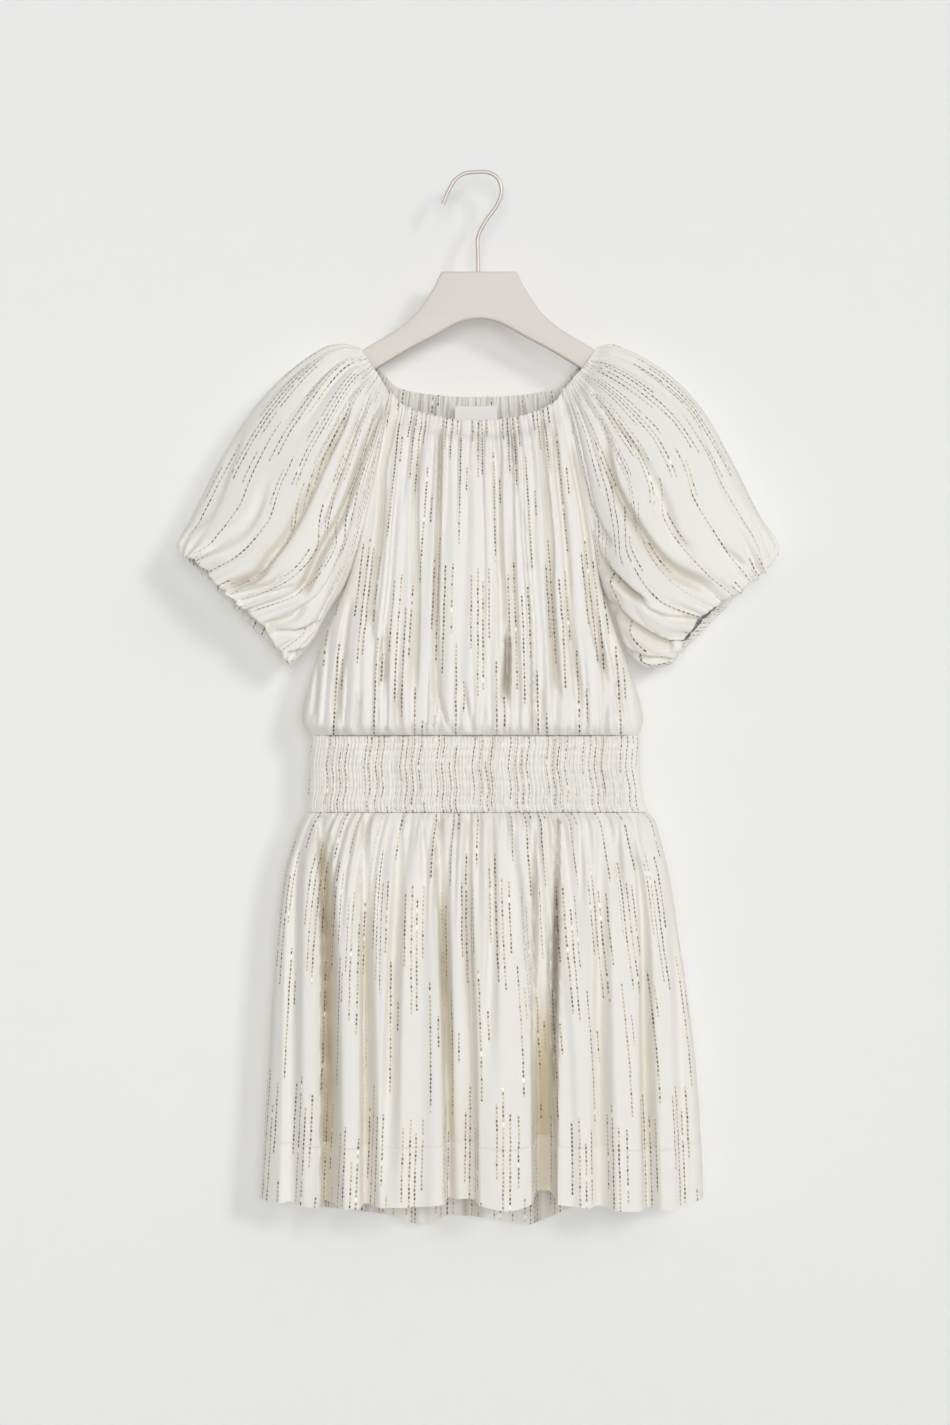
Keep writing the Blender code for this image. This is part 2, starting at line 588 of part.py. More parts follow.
def hanger_hook(finish, home):
    """The hook: one bent wire, its stem in the hanger's bore and its tip open."""
    curve = bpy.data.curves.new("hanger_hook", "CURVE")
    curve.dimensions = "3D"
    curve.bevel_depth = HOOK_WIRE / 2
    curve.bevel_resolution = 2
    curve.use_fill_caps = True
    route = through_points(HOOK_PATH, 2)
    spline = curve.splines.new("POLY")
    spline.points.add(len(route) - 1)
    for point, (x, z) in zip(spline.points, route):
        point.co = (x, 0, z, 1)
    curve.materials.append(finish)
    home.objects.link(bpy.data.objects.new("hanger_hook", curve))


def main():
    for old in list(bpy.data.objects):
        bpy.data.objects.remove(old)
    home = bpy.data.collections.new("puff_sleeve_dress")
    cutters = bpy.data.collections.new("cutters")
    bpy.context.scene.collection.children.link(home)
    bpy.context.scene.collection.children.link(cutters)

    crepe = material("ivory_crepe", IVORY, 0.8)
    label_cloth = material("label_tape", LABEL_WHITE, 0.6)
    board = material("hanger_board", HANGER_BEIGE, 0.55)
    wire = material("hook_wire", HOOK_BEIGE, 0.35)

    bodice(-1, BODICE_FRONT_FOLDS, "bodice_front", crepe, home)
    bodice(1, BODICE_BACK_FOLDS, "bodice_back", crepe, home)
    waist(-1, "waist_front", crepe, home)
    waist(1, "waist_back", crepe, home)
    skirt(-1, SKIRT_FRONT_FOLDS, "skirt_front", crepe, home)
    skirt(1, SKIRT_BACK_FOLDS, "skirt_back", crepe, home)
    sleeve("left", SLEEVE_TOP_LEFT, UNDER_SEAM_LEFT, -1, SLEEVE_LEFT_FOLDS, "sleeve_left", crepe, home)
    sleeve("right", SLEEVE_TOP_RIGHT, UNDER_SEAM_RIGHT, 1, SLEEVE_RIGHT_FOLDS, "sleeve_right", crepe, home)

    label_y = (LABEL_Y - LABEL_THICK, LABEL_Y)
    slab("neck_label", LABEL_X, label_y, LABEL_Z, label_cloth, home)
    slab("size_tab", TAB_X, label_y, TAB_Z, label_cloth, home)

    hanger_body(board, home, cutters)
    hanger_hook(wire, home)


main()
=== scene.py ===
"""Looks of a short ivory crepe dress with puff sleeves, hanging flat from a hooked hanger.

Metres, +Z up, the front towards -Y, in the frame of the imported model.
"""

import math

import bpy
import numpy as np
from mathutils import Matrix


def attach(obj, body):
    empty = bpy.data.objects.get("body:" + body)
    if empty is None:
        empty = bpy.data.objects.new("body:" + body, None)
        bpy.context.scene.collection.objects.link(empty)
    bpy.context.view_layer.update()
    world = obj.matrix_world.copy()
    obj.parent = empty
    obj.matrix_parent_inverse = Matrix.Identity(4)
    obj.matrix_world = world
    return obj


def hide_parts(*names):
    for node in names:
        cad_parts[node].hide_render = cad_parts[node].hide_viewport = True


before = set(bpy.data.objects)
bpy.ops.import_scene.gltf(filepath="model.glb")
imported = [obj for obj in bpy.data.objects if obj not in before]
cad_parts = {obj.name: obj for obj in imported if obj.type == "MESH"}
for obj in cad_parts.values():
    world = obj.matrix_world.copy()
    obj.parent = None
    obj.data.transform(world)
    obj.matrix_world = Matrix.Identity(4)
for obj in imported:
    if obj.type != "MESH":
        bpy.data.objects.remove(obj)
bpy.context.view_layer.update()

# Camera, light and room
# A level camera looks straight at the hanging dress, as the photograph was taken.
# The wall close behind it and the floor below are staged, and soft light falls from the upper right.
CAMERA_AT = (-0.004, -3.2, -0.5385)
CAMERA_LENS = 80.84
WALL_Y = 0.046
FLOOR_Z = -1.42
ROOM_SIZE = 7.0
WALL_COLOUR = (0.85, 0.85, 0.845, 1)
FLOOR_COLOUR = (0.82, 0.82, 0.81, 1)
SKY_COLOUR = (1.0, 1.0, 1.0, 1)
SKY_STRENGTH = 0.12
# Where each light comes from, how wide it looks in degrees, and its strength
LIGHTS = (
    ("window_light", (0.65, -1.0, 0.40), 12, 0.62),
    ("front_light", (0.04, -1.0, 0.08), 26, 1.04),
    ("side_light", (0.95, -1.0, 0.55), 55, 0.46),
    ("room_light", (-0.50, -1.0, 0.14), 80, 0.50),
    ("back_light", (-0.30, 1.0, 0.35), 40, 1.10),
)


def aimed(place, target):
    """The rotation that points an object's -Z from one place to another."""
    way = [b - a for a, b in zip(place, target)]
    flat = math.hypot(way[0], way[1])
    return (math.atan2(flat, -way[2]), 0, math.atan2(-way[0], way[1]))


bpy.ops.object.select_all(action="DESELECT")
bpy.ops.object.camera_add(location=CAMERA_AT, rotation=(math.pi / 2, 0, 0))
camera = bpy.context.object
camera.name = "camera"
camera.data.lens = CAMERA_LENS
camera.data.sensor_width = 36
bpy.context.scene.camera = camera
bpy.context.scene.view_settings.view_transform = "Standard"

for name, place, wide, strength in LIGHTS:
    bpy.ops.object.light_add(type="SUN", location=place, rotation=aimed(place, (0, 0, 0)))
    lamp = bpy.context.object
    lamp.name = name
    lamp.data.angle = math.radians(wide)
    lamp.data.energy = strength

sky = bpy.data.worlds.new("studio_air")
sky.use_nodes = True
sky.node_tree.nodes["Background"].inputs["Color"].default_value = SKY_COLOUR
sky.node_tree.nodes["Background"].inputs["Strength"].default_value = SKY_STRENGTH
bpy.context.scene.world = sky


class Nodes:
    """Builds one material's shader from plain Python expressions."""

    def __init__(self, name):
        self.material = bpy.data.materials.new(name)
        self.material.use_nodes = True
        self.tree = self.material.node_tree
        self.shader = self.tree.nodes["Principled BSDF"]

    def add(self, kind, settings, inputs, output=0):
        """One node of any type: its settings first, then its sockets' values or links."""
        node = self.tree.nodes.new(kind)
        for key, value in settings.items():
            if key == "stops":
                ramp = node.color_ramp
                while len(ramp.elements) > 1:
                    ramp.elements.remove(ramp.elements[-1])
                for i, (place, colour) in enumerate(value):
                    element = ramp.elements[0] if i == 0 else ramp.elements.new(place)
                    element.position = place
                    element.color = colour
            elif key == "ramp_steps":
                node.color_ramp.interpolation = value
            else:
                setattr(node, key, value)
        for key, value in inputs.items():
            if isinstance(value, Value):
                self.tree.links.new(value.socket, node.inputs[key])
            else:
                node.inputs[key].default_value = value
        return Value(self, node.outputs[output])

    def maths(self, operation, *values):
        return self.add("ShaderNodeMath", {"operation": operation}, dict(enumerate(values)))

    def soft_step(self, value, low, high):
        """0 below low, 1 above high and a soft rise between."""
        settings = {"interpolation_type": "SMOOTHSTEP"}
        inputs = {"Value": value, "From Min": low, "From Max": high}
        return self.add("ShaderNodeMapRange", settings, inputs)

    def mix_colour(self, share, first, second):
        settings = {"data_type": "RGBA"}
        return self.add("ShaderNodeMix", settings, {0: share, 6: first, 7: second}, 2)

    def feed(self, socket, value):
        """A value or link onto the shader's own socket."""
        if isinstance(value, Value):
            self.tree.links.new(value.socket, self.shader.inputs[socket])
        else:
            self.shader.inputs[socket].default_value = value

    def bump(self, height, strength, distance):
        inputs = {"Height": height, "Strength": strength, "Distance": distance}
        self.feed("Normal", self.add("ShaderNodeBump", {}, inputs))


class Value:
    """A socket that adds Math nodes when it is used in sums."""

    def __init__(self, nodes, socket):
        self.nodes = nodes
        self.socket = socket

    def __add__(self, other):
        return self.nodes.maths("ADD", self, other)

    __radd__ = __add__

    def __sub__(self, other):
        return self.nodes.maths("SUBTRACT", self, other)

    def __rsub__(self, other):
        return self.nodes.maths("SUBTRACT", other, self)

    def __mul__(self, other):
        return self.nodes.maths("MULTIPLY", self, other)

    __rmul__ = __mul__

    def __truediv__(self, other):
        return self.nodes.maths("DIVIDE", self, other)


plaster = Nodes("wall_plaster")
plaster.feed("Base Color", WALL_COLOUR)
plaster.feed("Roughness", 0.9)
grain_at = plaster.add("ShaderNodeTexCoord", {}, {}, 3)
grain = plaster.add("ShaderNodeTexNoise", {}, {"Vector": grain_at, "Scale": 90, "Detail": 4})
plaster.bump(grain, 0.12, 0.001)
# The wall shows from the room only and lets the lamp behind it through to the dress's back
seen_from_behind = plaster.add("ShaderNodeNewGeometry", {}, {}, "Backfacing")
lit_through = plaster.add("ShaderNodeLightPath", {}, {}, "Is Shadow Ray")
open_share = plaster.maths("MAXIMUM", seen_from_behind, lit_through)
clear = plaster.add("ShaderNodeBsdfTransparent", {}, {})
plaster_face = Value(plaster, plaster.shader.outputs[0])
one_sided = plaster.add("ShaderNodeMixShader", {}, {0: open_share, 1: plaster_face, 2: clear})
surface = plaster.tree.nodes["Material Output"].inputs["Surface"]
plaster.tree.links.new(one_sided.socket, surface)

screed = Nodes("floor_screed")
screed.feed("Base Color", FLOOR_COLOUR)
screed.feed("Roughness", 0.85)
screed.bump(screed.add("ShaderNodeTexNoise", {}, {"Scale": 60, "Detail": 4}), 0.1, 0.001)

bpy.ops.mesh.primitive_plane_add(
    size=ROOM_SIZE, location=(0, WALL_Y, FLOOR_Z + ROOM_SIZE / 2), rotation=(math.pi / 2, 0, 0)
)
wall = bpy.context.object
wall.name = "studio_wall"
wall.data.materials.append(plaster.material)
bpy.ops.mesh.primitive_plane_add(size=ROOM_SIZE * 2, location=(0, 0, FLOOR_Z))
floor = bpy.context.object
floor.name = "studio_floor"
floor.data.materials.append(screed.material)

# Hook
# One steel wire with a satin beige coat, bent round by hand and open at its tip.
# Its stem is sunk in the top of the hanger. It replaces the plain wire of the frame.
HOOK_WIRE = 0.004
STEM_X = -0.001
STEM_FOOT = -0.111
HOOK_PATH = (
    (STEM_X, STEM_FOOT),
    (STEM_X, -0.080),
    (STEM_X, -0.064),
    (0.0055, -0.049),
    (0.0175, -0.032),
    (0.0225, -0.018),
    (0.0195, -0.0055),
    (0.0110, 0.0010),
    (0.0000, 0.0020),
    (-0.0140, 0.0005),
    (-0.0240, -0.0060),
    (-0.0310, -0.0180),
    (-0.0360, -0.0300),
)
HOOK_STEPS = 6


def through_points(points, steps):
    """A smooth curve through the points, with a few steps between each two."""
    points = np.array(points, float)
    padded = np.vstack([2 * points[0] - points[1], points, 2 * points[-1] - points[-2]])
    found = []
    for k in range(len(points) - 1):
        a, b, c, d = padded[k : k + 4]
        for t in np.arange(steps) / steps:
            bend = (2 * a - 5 * b + 4 * c - d) * t**2 + (3 * b - a - 3 * c + d) * t**3
            found.append(0.5 * (2 * b + (c - a) * t + bend))
    found.append(points[-1])
    return np.array(found)


def curve_to_mesh(curve_object):
    """Turn a curve object into a mesh in place, with its caps welded on and its faces outwards."""
    bpy.ops.object.select_all(action="DESELECT")
    curve_object.select_set(True)
    bpy.context.view_layer.objects.active = curve_object
    bpy.ops.object.convert(target="MESH")
    bpy.ops.object.transform_apply(location=True, rotation=True, scale=True)
    bpy.ops.object.mode_set(mode="EDIT")
    bpy.ops.mesh.select_all(action="SELECT")
    bpy.ops.mesh.remove_doubles(threshold=0.00001)
    bpy.ops.mesh.normals_make_consistent(inside=False)
    bpy.ops.object.mode_set(mode="OBJECT")
    return bpy.context.object


coat = Nodes("hook_satin_coat")
coat_at = coat.add("ShaderNodeTexCoord", {}, {}, 3)
coat_grain = coat.add("ShaderNodeTexNoise", {}, {"Vector": coat_at, "Scale": 900, "Detail": 3})
coat_tone = coat.add("ShaderNodeTexNoise", {}, {"Vector": coat_at, "Scale": 45, "Detail": 2})
coat.feed("Base Color", coat.mix_colour(coat_tone, (0.60, 0.53, 0.48, 1), (0.72, 0.65, 0.60, 1)))
coat.feed("Roughness", coat_grain * 0.16 + 0.28)
coat.feed("Metallic", 0.35)
coat.bump(coat_grain, 0.08, 0.0003)

wire = bpy.data.curves.new("hook_wire", "CURVE")
wire.dimensions = "3D"
wire.bevel_depth = HOOK_WIRE / 2
wire.bevel_resolution = 4
wire.use_fill_caps = True
route = through_points(HOOK_PATH, HOOK_STEPS)
spline = wire.splines.new("POLY")
spline.points.add(len(route) - 1)
for point, (x, z) in zip(spline.points, route):
    point.co = (x, 0, z, 1)
hook = bpy.data.objects.new("hook_wire", wire)
bpy.context.scene.collection.objects.link(hook)
hook = curve_to_mesh(hook)
hook.data.materials.clear()
hook.data.materials.append(coat.material)
bpy.ops.object.select_all(action="DESELECT")
hook.select_set(True)
bpy.ops.object.shade_smooth_by_angle(angle=math.radians(50))
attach(hook, "root")
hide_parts("hanger_hook")

# Hanger
# A flat board, cut to a bow with square shoulders and lacquered a pinkish beige.
# Its edges are rounded over and its front face is bare. It replaces the coarser board of the frame.
HANGER_THICK = 0.012
HANGER_ROUND = 0.0025
HANGER_STEPS = 10
HANGER_HALF = (
    (0.000, -0.0980, "VECTOR"),
    (0.0375, -0.0980, "VECTOR"),
    (0.0480, -0.1185, "AUTO"),
    (0.0680, -0.1445, "AUTO"),
    (0.1175, -0.1774, "AUTO"),
    (0.1840, -0.2240, "AUTO"),
    (0.1975, -0.2390, "AUTO"),
    (0.1830, -0.2460, "AUTO"),
    (0.1040, -0.1960, "AUTO"),
    (0.0520, -0.1660, "AUTO"),
    (0.000, -0.1450, "AUTO"),
)

lacquer = Nodes("hanger_lacquer")
board_at = lacquer.add("ShaderNodeTexCoord", {}, {}, 3)
fibre = lacquer.add("ShaderNodeTexNoise", {}, {"Vector": board_at, "Scale": 420, "Detail": 5})
cloud = lacquer.add("ShaderNodeTexNoise", {}, {"Vector": board_at, "Scale": 14, "Detail": 3})
board_tone = lacquer.mix_colour(cloud, (0.715, 0.655, 0.61, 1), (0.755, 0.695, 0.65, 1))
lacquer.feed("Base Color", lacquer.mix_colour(fibre * 0.16, board_tone, (0.60, 0.53, 0.48, 1)))
lacquer.feed("Roughness", fibre * 0.12 + 0.48)
lacquer.bump(fibre, 0.10, 0.0004)

outline = bpy.data.curves.new("hanger_board", "CURVE")
outline.dimensions = "2D"
outline.fill_mode = "BOTH"
outline.extrude = HANGER_THICK / 2 - HANGER_ROUND
outline.bevel_depth = HANGER_ROUND
outline.bevel_resolution = 3
outline.offset = -HANGER_ROUND
outline.resolution_u = HANGER_STEPS
left_half = [(-x, z, kind) for x, z, kind in HANGER_HALF[-2:0:-1]]
corners = list(HANGER_HALF) + left_half
spline = outline.splines.new("BEZIER")
spline.bezier_points.add(len(corners) - 1)
for point, (x, z, kind) in zip(spline.bezier_points, corners):
    point.co = (x, z, 0)
    point.handle_left_type = kind
    point.handle_right_type = kind
spline.use_cyclic_u = True
board = bpy.data.objects.new("hanger_board", outline)
board.rotation_euler = (math.pi / 2, 0, 0)
bpy.context.scene.collection.objects.link(board)
board = curve_to_mesh(board)
board.data.materials.clear()
board.data.materials.append(lacquer.material)
bpy.ops.object.select_all(action="DESELECT")
board.select_set(True)
bpy.ops.object.shade_smooth_by_angle(angle=math.radians(35))
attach(board, "root")
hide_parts("hanger_body")

# Crepe
# Soft ivory crepe with dashed metallic warp threads, in clusters of lines of uneven length.
# The chart is set out in the cloth's own metres, across and along, so it follows every fold.
CLOTH_THICK = 0.0006
LINE_GAP = 0.0066
LINE_HALF = 0.00087
DASH_PITCH = 0.0042
DASH_SHARE = 0.60
CHART_LONG = 0.228
CHART_LINES = 6
CHART_WANDER = 0.060
# Each line of a cluster: its length, and how far its middle lies below the cluster's
CHART = (
    (0.072, -0.014),
    (0.126, 0.004),
    (0.108, 0.022),
    (0.070, -0.006),
    (0.128, 0.112),
    (0.030, 0.090),
)
LONGEST = 0.25
IVORY = (0.855, 0.842, 0.805, 1)
IVORY_WARM = (0.845, 0.826, 0.775, 1)
# Painted shade: the ivory darkened and warmed where the cloth lies deep in its folds
IVORY_PAINTED_SHADE = (0.65, 0.565, 0.41, 1)
THREAD_GOLD = (0.60, 0.485, 0.32, 1)
THREAD_DARK = (0.145, 0.098, 0.055, 1)
# Painted glint: the near-white of the few dashes that catch the light
THREAD_PAINTED_GLINT = (1.0, 0.96, 0.86, 1)
DASH_REST = 0.15


def crepe(name, line_half):
    """The dress's cloth. It reads the piece's own UV map, in metres of cloth, and each point's share of
    painted shade in the folds.
    """
    cloth = Nodes(name)
    uv = cloth.add("ShaderNodeUVMap", {"uv_map": "cloth"}, {})
    across = cloth.add("ShaderNodeSeparateXYZ", {}, {0: uv}, 0)
    along = cloth.add("ShaderNodeSeparateXYZ", {}, {0: uv}, 1)

    line = across / LINE_GAP
    number = cloth.maths("FLOOR", line)
    line_chance = cloth.add(
        "ShaderNodeTexWhiteNoise", {"noise_dimensions": "1D"}, {"W": number + 0.61}
    )
    sway_at = cloth.add("ShaderNodeCombineXYZ", {}, {0: number * 1.7, 1: along * 55})
    sway = cloth.add("ShaderNodeTexNoise", {}, {"Vector": sway_at, "Scale": 1.0, "Detail": 1})
    sway = (sway - 0.5) * 0.22 + (line_chance - 0.5) * 0.34
    aside = cloth.maths("ABSOLUTE", line - number - 0.5 + sway) * LINE_GAP
    on_line = 1 - cloth.soft_step(aside, line_half * 0.6, line_half * 1.2)
    cluster = cloth.maths("FLOOR", (number + 0.5) / CHART_LINES)
    place = number - cluster * CHART_LINES
    stops = [
        (i / CHART_LINES, (long / LONGEST, low / LONGEST + 0.5, 0, 1))
        for i, (long, low) in enumerate(CHART)
    ]
    chart_settings = {"ramp_steps": "CONSTANT", "stops": stops}
    chart = cloth.add("ShaderNodeValToRGB", chart_settings, {0: (place + 0.5) / CHART_LINES})
    length = cloth.add("ShaderNodeSeparateColor", {}, {0: chart}, 0) * LONGEST
    low = (cloth.add("ShaderNodeSeparateColor", {}, {0: chart}, 1) - 0.5) * LONGEST
    cluster_chance = cloth.add(
        "ShaderNodeTexWhiteNoise", {"noise_dimensions": "1D"}, {"W": cluster + 0.37}
    )
    shift = (cluster_chance - 0.5) * CHART_WANDER + (line_chance - 0.5) * 0.022
    turn = (along + shift - low) / CHART_LONG
    from_middle = cloth.maths("ABSOLUTE", turn - cloth.maths("FLOOR", turn) - 0.5) * CHART_LONG
    in_run = 1 - cloth.soft_step(from_middle - length / 2, -0.0008, 0.0008)
    dash = (along + line_chance * DASH_PITCH) / DASH_PITCH
    dash_number = cloth.maths("FLOOR", dash)
    in_dash = cloth.maths("ABSOLUTE", dash - dash_number - 0.5)
    on_dash = 1 - cloth.soft_step(in_dash, DASH_SHARE / 2 - 0.06, DASH_SHARE / 2 + 0.06)
    thread = on_line * in_run * (on_dash * (1 - DASH_REST) + DASH_REST)

    dash_at = cloth.add("ShaderNodeCombineXYZ", {}, {0: number + 0.5, 1: dash_number + 0.5})
    dash_chance = cloth.add("ShaderNodeTexWhiteNoise", {"noise_dimensions": "2D"}, {"Vector": dash_at})
    stretch = cloth.add("ShaderNodeCombineXYZ", {}, {0: number * 0.9, 1: along * 30})
    drift = cloth.add("ShaderNodeTexNoise", {}, {"Vector": stretch, "Scale": 1.0, "Detail": 2})
    darkness = cloth.soft_step(drift + (dash_chance - 0.5) * 0.45, 0.36, 0.67)
    metal = cloth.mix_colour(darkness, THREAD_GOLD, THREAD_DARK)
    # A few dashes at random get a painted glint
    painted_glint = cloth.soft_step(dash_chance, 0.962, 0.972)
    metal = cloth.mix_colour(painted_glint, metal, THREAD_PAINTED_GLINT)

    cloud = cloth.add("ShaderNodeTexNoise", {}, {"Vector": uv, "Scale": 26, "Detail": 3})
    ground = cloth.mix_colour(cloud, IVORY, IVORY_WARM)
    # Painted shade: the ground darkens and warms by each point's stored share of shade in the folds
    deep = cloth.add("ShaderNodeAttribute", {"attribute_name": "fold_depth"}, {}, 2)
    ground = cloth.mix_colour(deep, ground, IVORY_PAINTED_SHADE)
    cloth.feed("Base Color", cloth.mix_colour(thread, ground, metal))
    cloth.feed("Roughness", 0.86 - thread * 0.46)
    cloth.feed("Metallic", thread * 0.4)
    cloth.feed("Sheen Weight", 0.18)
    cloth.feed("Sheen Roughness", 0.45)
    cloth.feed("Specular IOR Level", 0.28)

    crinkle_at = cloth.add("ShaderNodeCombineXYZ", {}, {0: across * 150, 1: along * 22})
    crinkle = cloth.add("ShaderNodeTexNoise", {}, {"Vector": crinkle_at, "Scale": 1.0, "Detail": 3})
    pebble = cloth.add("ShaderNodeTexNoise", {}, {"Vector": uv, "Scale": 900, "Detail": 2})
    cloth.bump(crinkle * 0.8 + pebble * 0.25 + thread * 0.35, 0.5, 0.0010)
    return cloth.material


ivory_crepe = crepe("ivory_crepe", LINE_HALF)


def columns_of(names, rows):
    """The columns of a table, by name."""
    values = np.array(rows, float)
    return {name: values[:, i] for i, name in enumerate(names)}


def smooth(share):
    """A soft step from 0 to 1."""
    share = np.clip(share, 0, 1)
    return share * share * (3 - 2 * share)


def eased(at, knots, values):
    """A smooth curve through a table's values that never overshoots them. The knots rise."""
    knots = np.asarray(knots, float)
    values = np.asarray(values, float)
    step = np.diff(knots)
    slope = np.diff(values) / step
    tangent = np.concatenate([slope[:1], np.zeros(len(slope) - 1), slope[-1:]])
    for k in range(1, len(slope)):
        if slope[k - 1] * slope[k] > 0:
            before = 2 * step[k] + step[k - 1]
            after = step[k] + 2 * step[k - 1]
            tangent[k] = (before + after) / (before / slope[k - 1] + after / slope[k])
    k = np.clip(np.searchsorted(knots, at, side="right") - 1, 0, len(step) - 1)
    t = np.clip((at - knots[k]) / step[k], 0, 1)
    rise = values[k] * (1 + 2 * t) * (1 - t) ** 2 + values[k + 1] * t**2 * (3 - 2 * t)
    return rise + step[k] * (tangent[k] * t * (1 - t) ** 2 - tangent[k + 1] * t**2 * (1 - t))


CREASE_COLUMNS = "path left right depth start end lip flat".split()
CREASE_STEPS = 8
CREASE_BLEND = 4


def crease_field(x, z, creases, top_share, top_depth):
    """Depth of the troughs at each point, and how far each fold's lip leans across its trough.

    A crease runs down a path of points. left and right are its half widths at its foot, of which
    it has top_share at its top, with top_depth of its depth. Its path, widths, depth and lip are in
    millimetres. flat is the share level at its bottom.
    start and end are the shares of its length over which it deepens and dies away.
    A positive lip leans the cloth on the left over the trough, a negative one the cloth on the right.
    """
    sunk = np.zeros_like(x)
    leaning = np.zeros_like(x)
    for row in creases:
        crease = dict(zip(CREASE_COLUMNS, (*row, 0, 0)))
        left, right, depth, lip = (crease[name] / 1000 for name in ("left", "right", "depth", "lip"))
        line = through_points(np.array(crease["path"]) / 1000, CREASE_STEPS)
        nearest = np.full(x.shape, np.inf)
        side = np.zeros_like(x)
        share = np.zeros_like(x)
        for k, (a, b) in enumerate(zip(line[:-1], line[1:])):
            way = b - a
            long = way @ way
            t = np.clip(((x - a[0]) * way[0] + (z - a[1]) * way[1]) / long, 0, 1)
            off_x = x - a[0] - t * way[0]
            off_z = z - a[1] - t * way[1]
            off = np.hypot(off_x, off_z)
            closer = off < nearest
            nearest = np.where(closer, off, nearest)
            turn = np.sign(off_z * way[0] - off_x * way[1])
            side = np.where(closer, turn, side)
            share = np.where(closer, (k + t) / (len(line) - 1), share)
        widening = top_share + (1 - top_share) * share
        width = np.where(side > 0, right, left) * widening
        strength = smooth(share / max(crease["start"], 0.001))
        strength = strength * smooth((1 - share) / max(crease["end"], 0.001))
        strength = strength * (top_depth + (1 - top_depth) * smooth(share * 2))
        aside = np.clip((nearest / width - crease["flat"]) / (1 - crease["flat"]), 0, 1)
        profile = (1 - aside**2) ** 2
        sunk = sunk + (depth * profile * strength) ** CREASE_BLEND
        if lip:
            edge = -left if lip > 0 else right
            edge = edge * widening
            reach = np.abs(edge) + 0.002
            leaning = leaning + lip * strength * np.exp(-(((nearest * side - edge) / reach) ** 2))
    return sunk ** (1 / CREASE_BLEND), leaning


def pipes(place, count, seed, evenness=0.55, softness=0.8):
    """Rounded pipes, uneven in width and height, from 0 to about 1.

    A softness of 1 or more rounds the valleys between them too.
    """
    chance = np.random.default_rng(seed)
    widths = evenness + (1 - evenness) * 2 * chance.random(count)
    ends = np.concatenate([[0], np.cumsum(widths) / widths.sum()]) * 2 - 1
    heights = 0.55 + 0.45 * chance.random(count)
    k = np.clip(np.searchsorted(ends, place, side="right") - 1, 0, count - 1)
    t = np.clip((place - ends[k]) / (ends[k + 1] - ends[k]), 0, 1)
    return heights[k] * np.sin(np.pi * t) ** softness


GATHER_COLUMNS = "seed_step count evenness softness height rise fade".split()


def gathered(place, seed, away, rows):
    """Height of several sets of pipes that rise and die away with the distance from their seam.

    rise and fade each give where the change starts and how far it takes, or None.
    """
    total = 0
    for row in rows:
        one = dict(zip(GATHER_COLUMNS, row))
        height = pipes(place, one["count"], seed + one["seed_step"], one["evenness"], one["softness"])
        height = height * one["height"]
        if one["rise"]:
            height = height * smooth((away - one["rise"][0]) / one["rise"][1])
        if one["fade"]:
            height = height * (1 - smooth((away - one["fade"][0]) / one["fade"][1]))
        total = total + height
    return total


def quiet_edges(places, power):
    """1 over most of a panel, and 0 at its side seams, where gathers would part it from its neighbour."""
    return np.clip(1 - np.abs(places) ** power, 0, 1)[None, :]


def averaged(values, reach):
    """Each value averaged with its neighbours to its left and right."""
    wide = 2 * reach + 1
    sums = np.cumsum(np.pad(values, ((0, 0), (reach + 1, reach)), mode="edge"), axis=1)
    return (sums[:, wide:] - sums[:, :-wide]) / wide


# How deep a valley is before painted shade darkens it, as a share of full depth, and how softly the
# painted shade spreads
SHADE_FROM = 0.15
SHADE_SPREAD = 4


def painted_valley_shade(proud, reach, full):
    """The share of painted shade at each point, from 0 to 1, by how far it lies below the cloth to its
    left and right.

    reach is how many columns count each way, and full is about how deep the darkest valley lies.
    """
    sunk = (averaged(proud, reach) - proud) / full
    return averaged(smooth(sunk - SHADE_FROM), SHADE_SPREAD)


def cloth_piece(name, points, across, along, shade_share, flipped, finish=ivory_crepe):
    """A sheet of cloth from a grid of points, with its cloth metres as UVs, each point's share of painted
    shade and a thin wall.
    """
    rows, columns = points.shape[:2]
    mesh = bpy.data.meshes.new(name)
    corner = np.arange(rows * columns).reshape(rows, columns)
    quads = [corner[:-1, :-1], corner[1:, :-1], corner[1:, 1:], corner[:-1, 1:]]
    if flipped:
        quads = quads[::-1]
    faces = np.stack(quads, axis=-1).reshape(-1, 4)
    mesh.from_pydata(points.reshape(-1, 3).tolist(), [], faces.tolist())
    layer = mesh.uv_layers.new(name="cloth")
    flat = [np.broadcast_to(values, (rows, columns)) for values in (across, along)]
    flat = np.stack(flat, axis=-1)
    layer.data.foreach_set("uv", flat.reshape(-1, 2)[faces.ravel()].astype(np.float32).ravel())
    # Each point's share of painted shade in the folds, for the cloth's material
    depth = mesh.attributes.new("fold_depth", "FLOAT", "POINT")
    depth.data.foreach_set("value", shade_share.astype(np.float32).ravel())
    mesh.materials.append(finish)
    piece = bpy.data.objects.new(name, mesh)
    bpy.context.scene.collection.objects.link(piece)
    bpy.ops.object.select_all(action="DESELECT")
    piece.select_set(True)
    bpy.context.view_layer.objects.active = piece
    wall_of = piece.modifiers.new("thickness", "SOLIDIFY")
    wall_of.thickness = CLOTH_THICK
    wall_of.offset = -1
    bpy.ops.object.modifier_apply(modifier=wall_of.name)
    piece.data.shade_smooth()
    piece.data.set_sharp_from_angle(angle=math.radians(75))
    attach(piece, "root")
    return piece


def laid_across(points, row, flat_width):
    """Cloth metres across, from how far apart the columns lie along one row of the finished cloth."""
    steps = np.linalg.norm(np.diff(points[row], axis=0), axis=1)
    gone = np.concatenate([[0], np.cumsum(steps)])
    return gone / gone[-1] * flat_width


BODY_COLUMNS = (
    "level left right edge_front edge_back front back drop_front drop_back lift_back round"
).split()
CROWN_POWER = 4
DEEPEST_SHARE = 0.85
HALF_SEAM = 0.00015


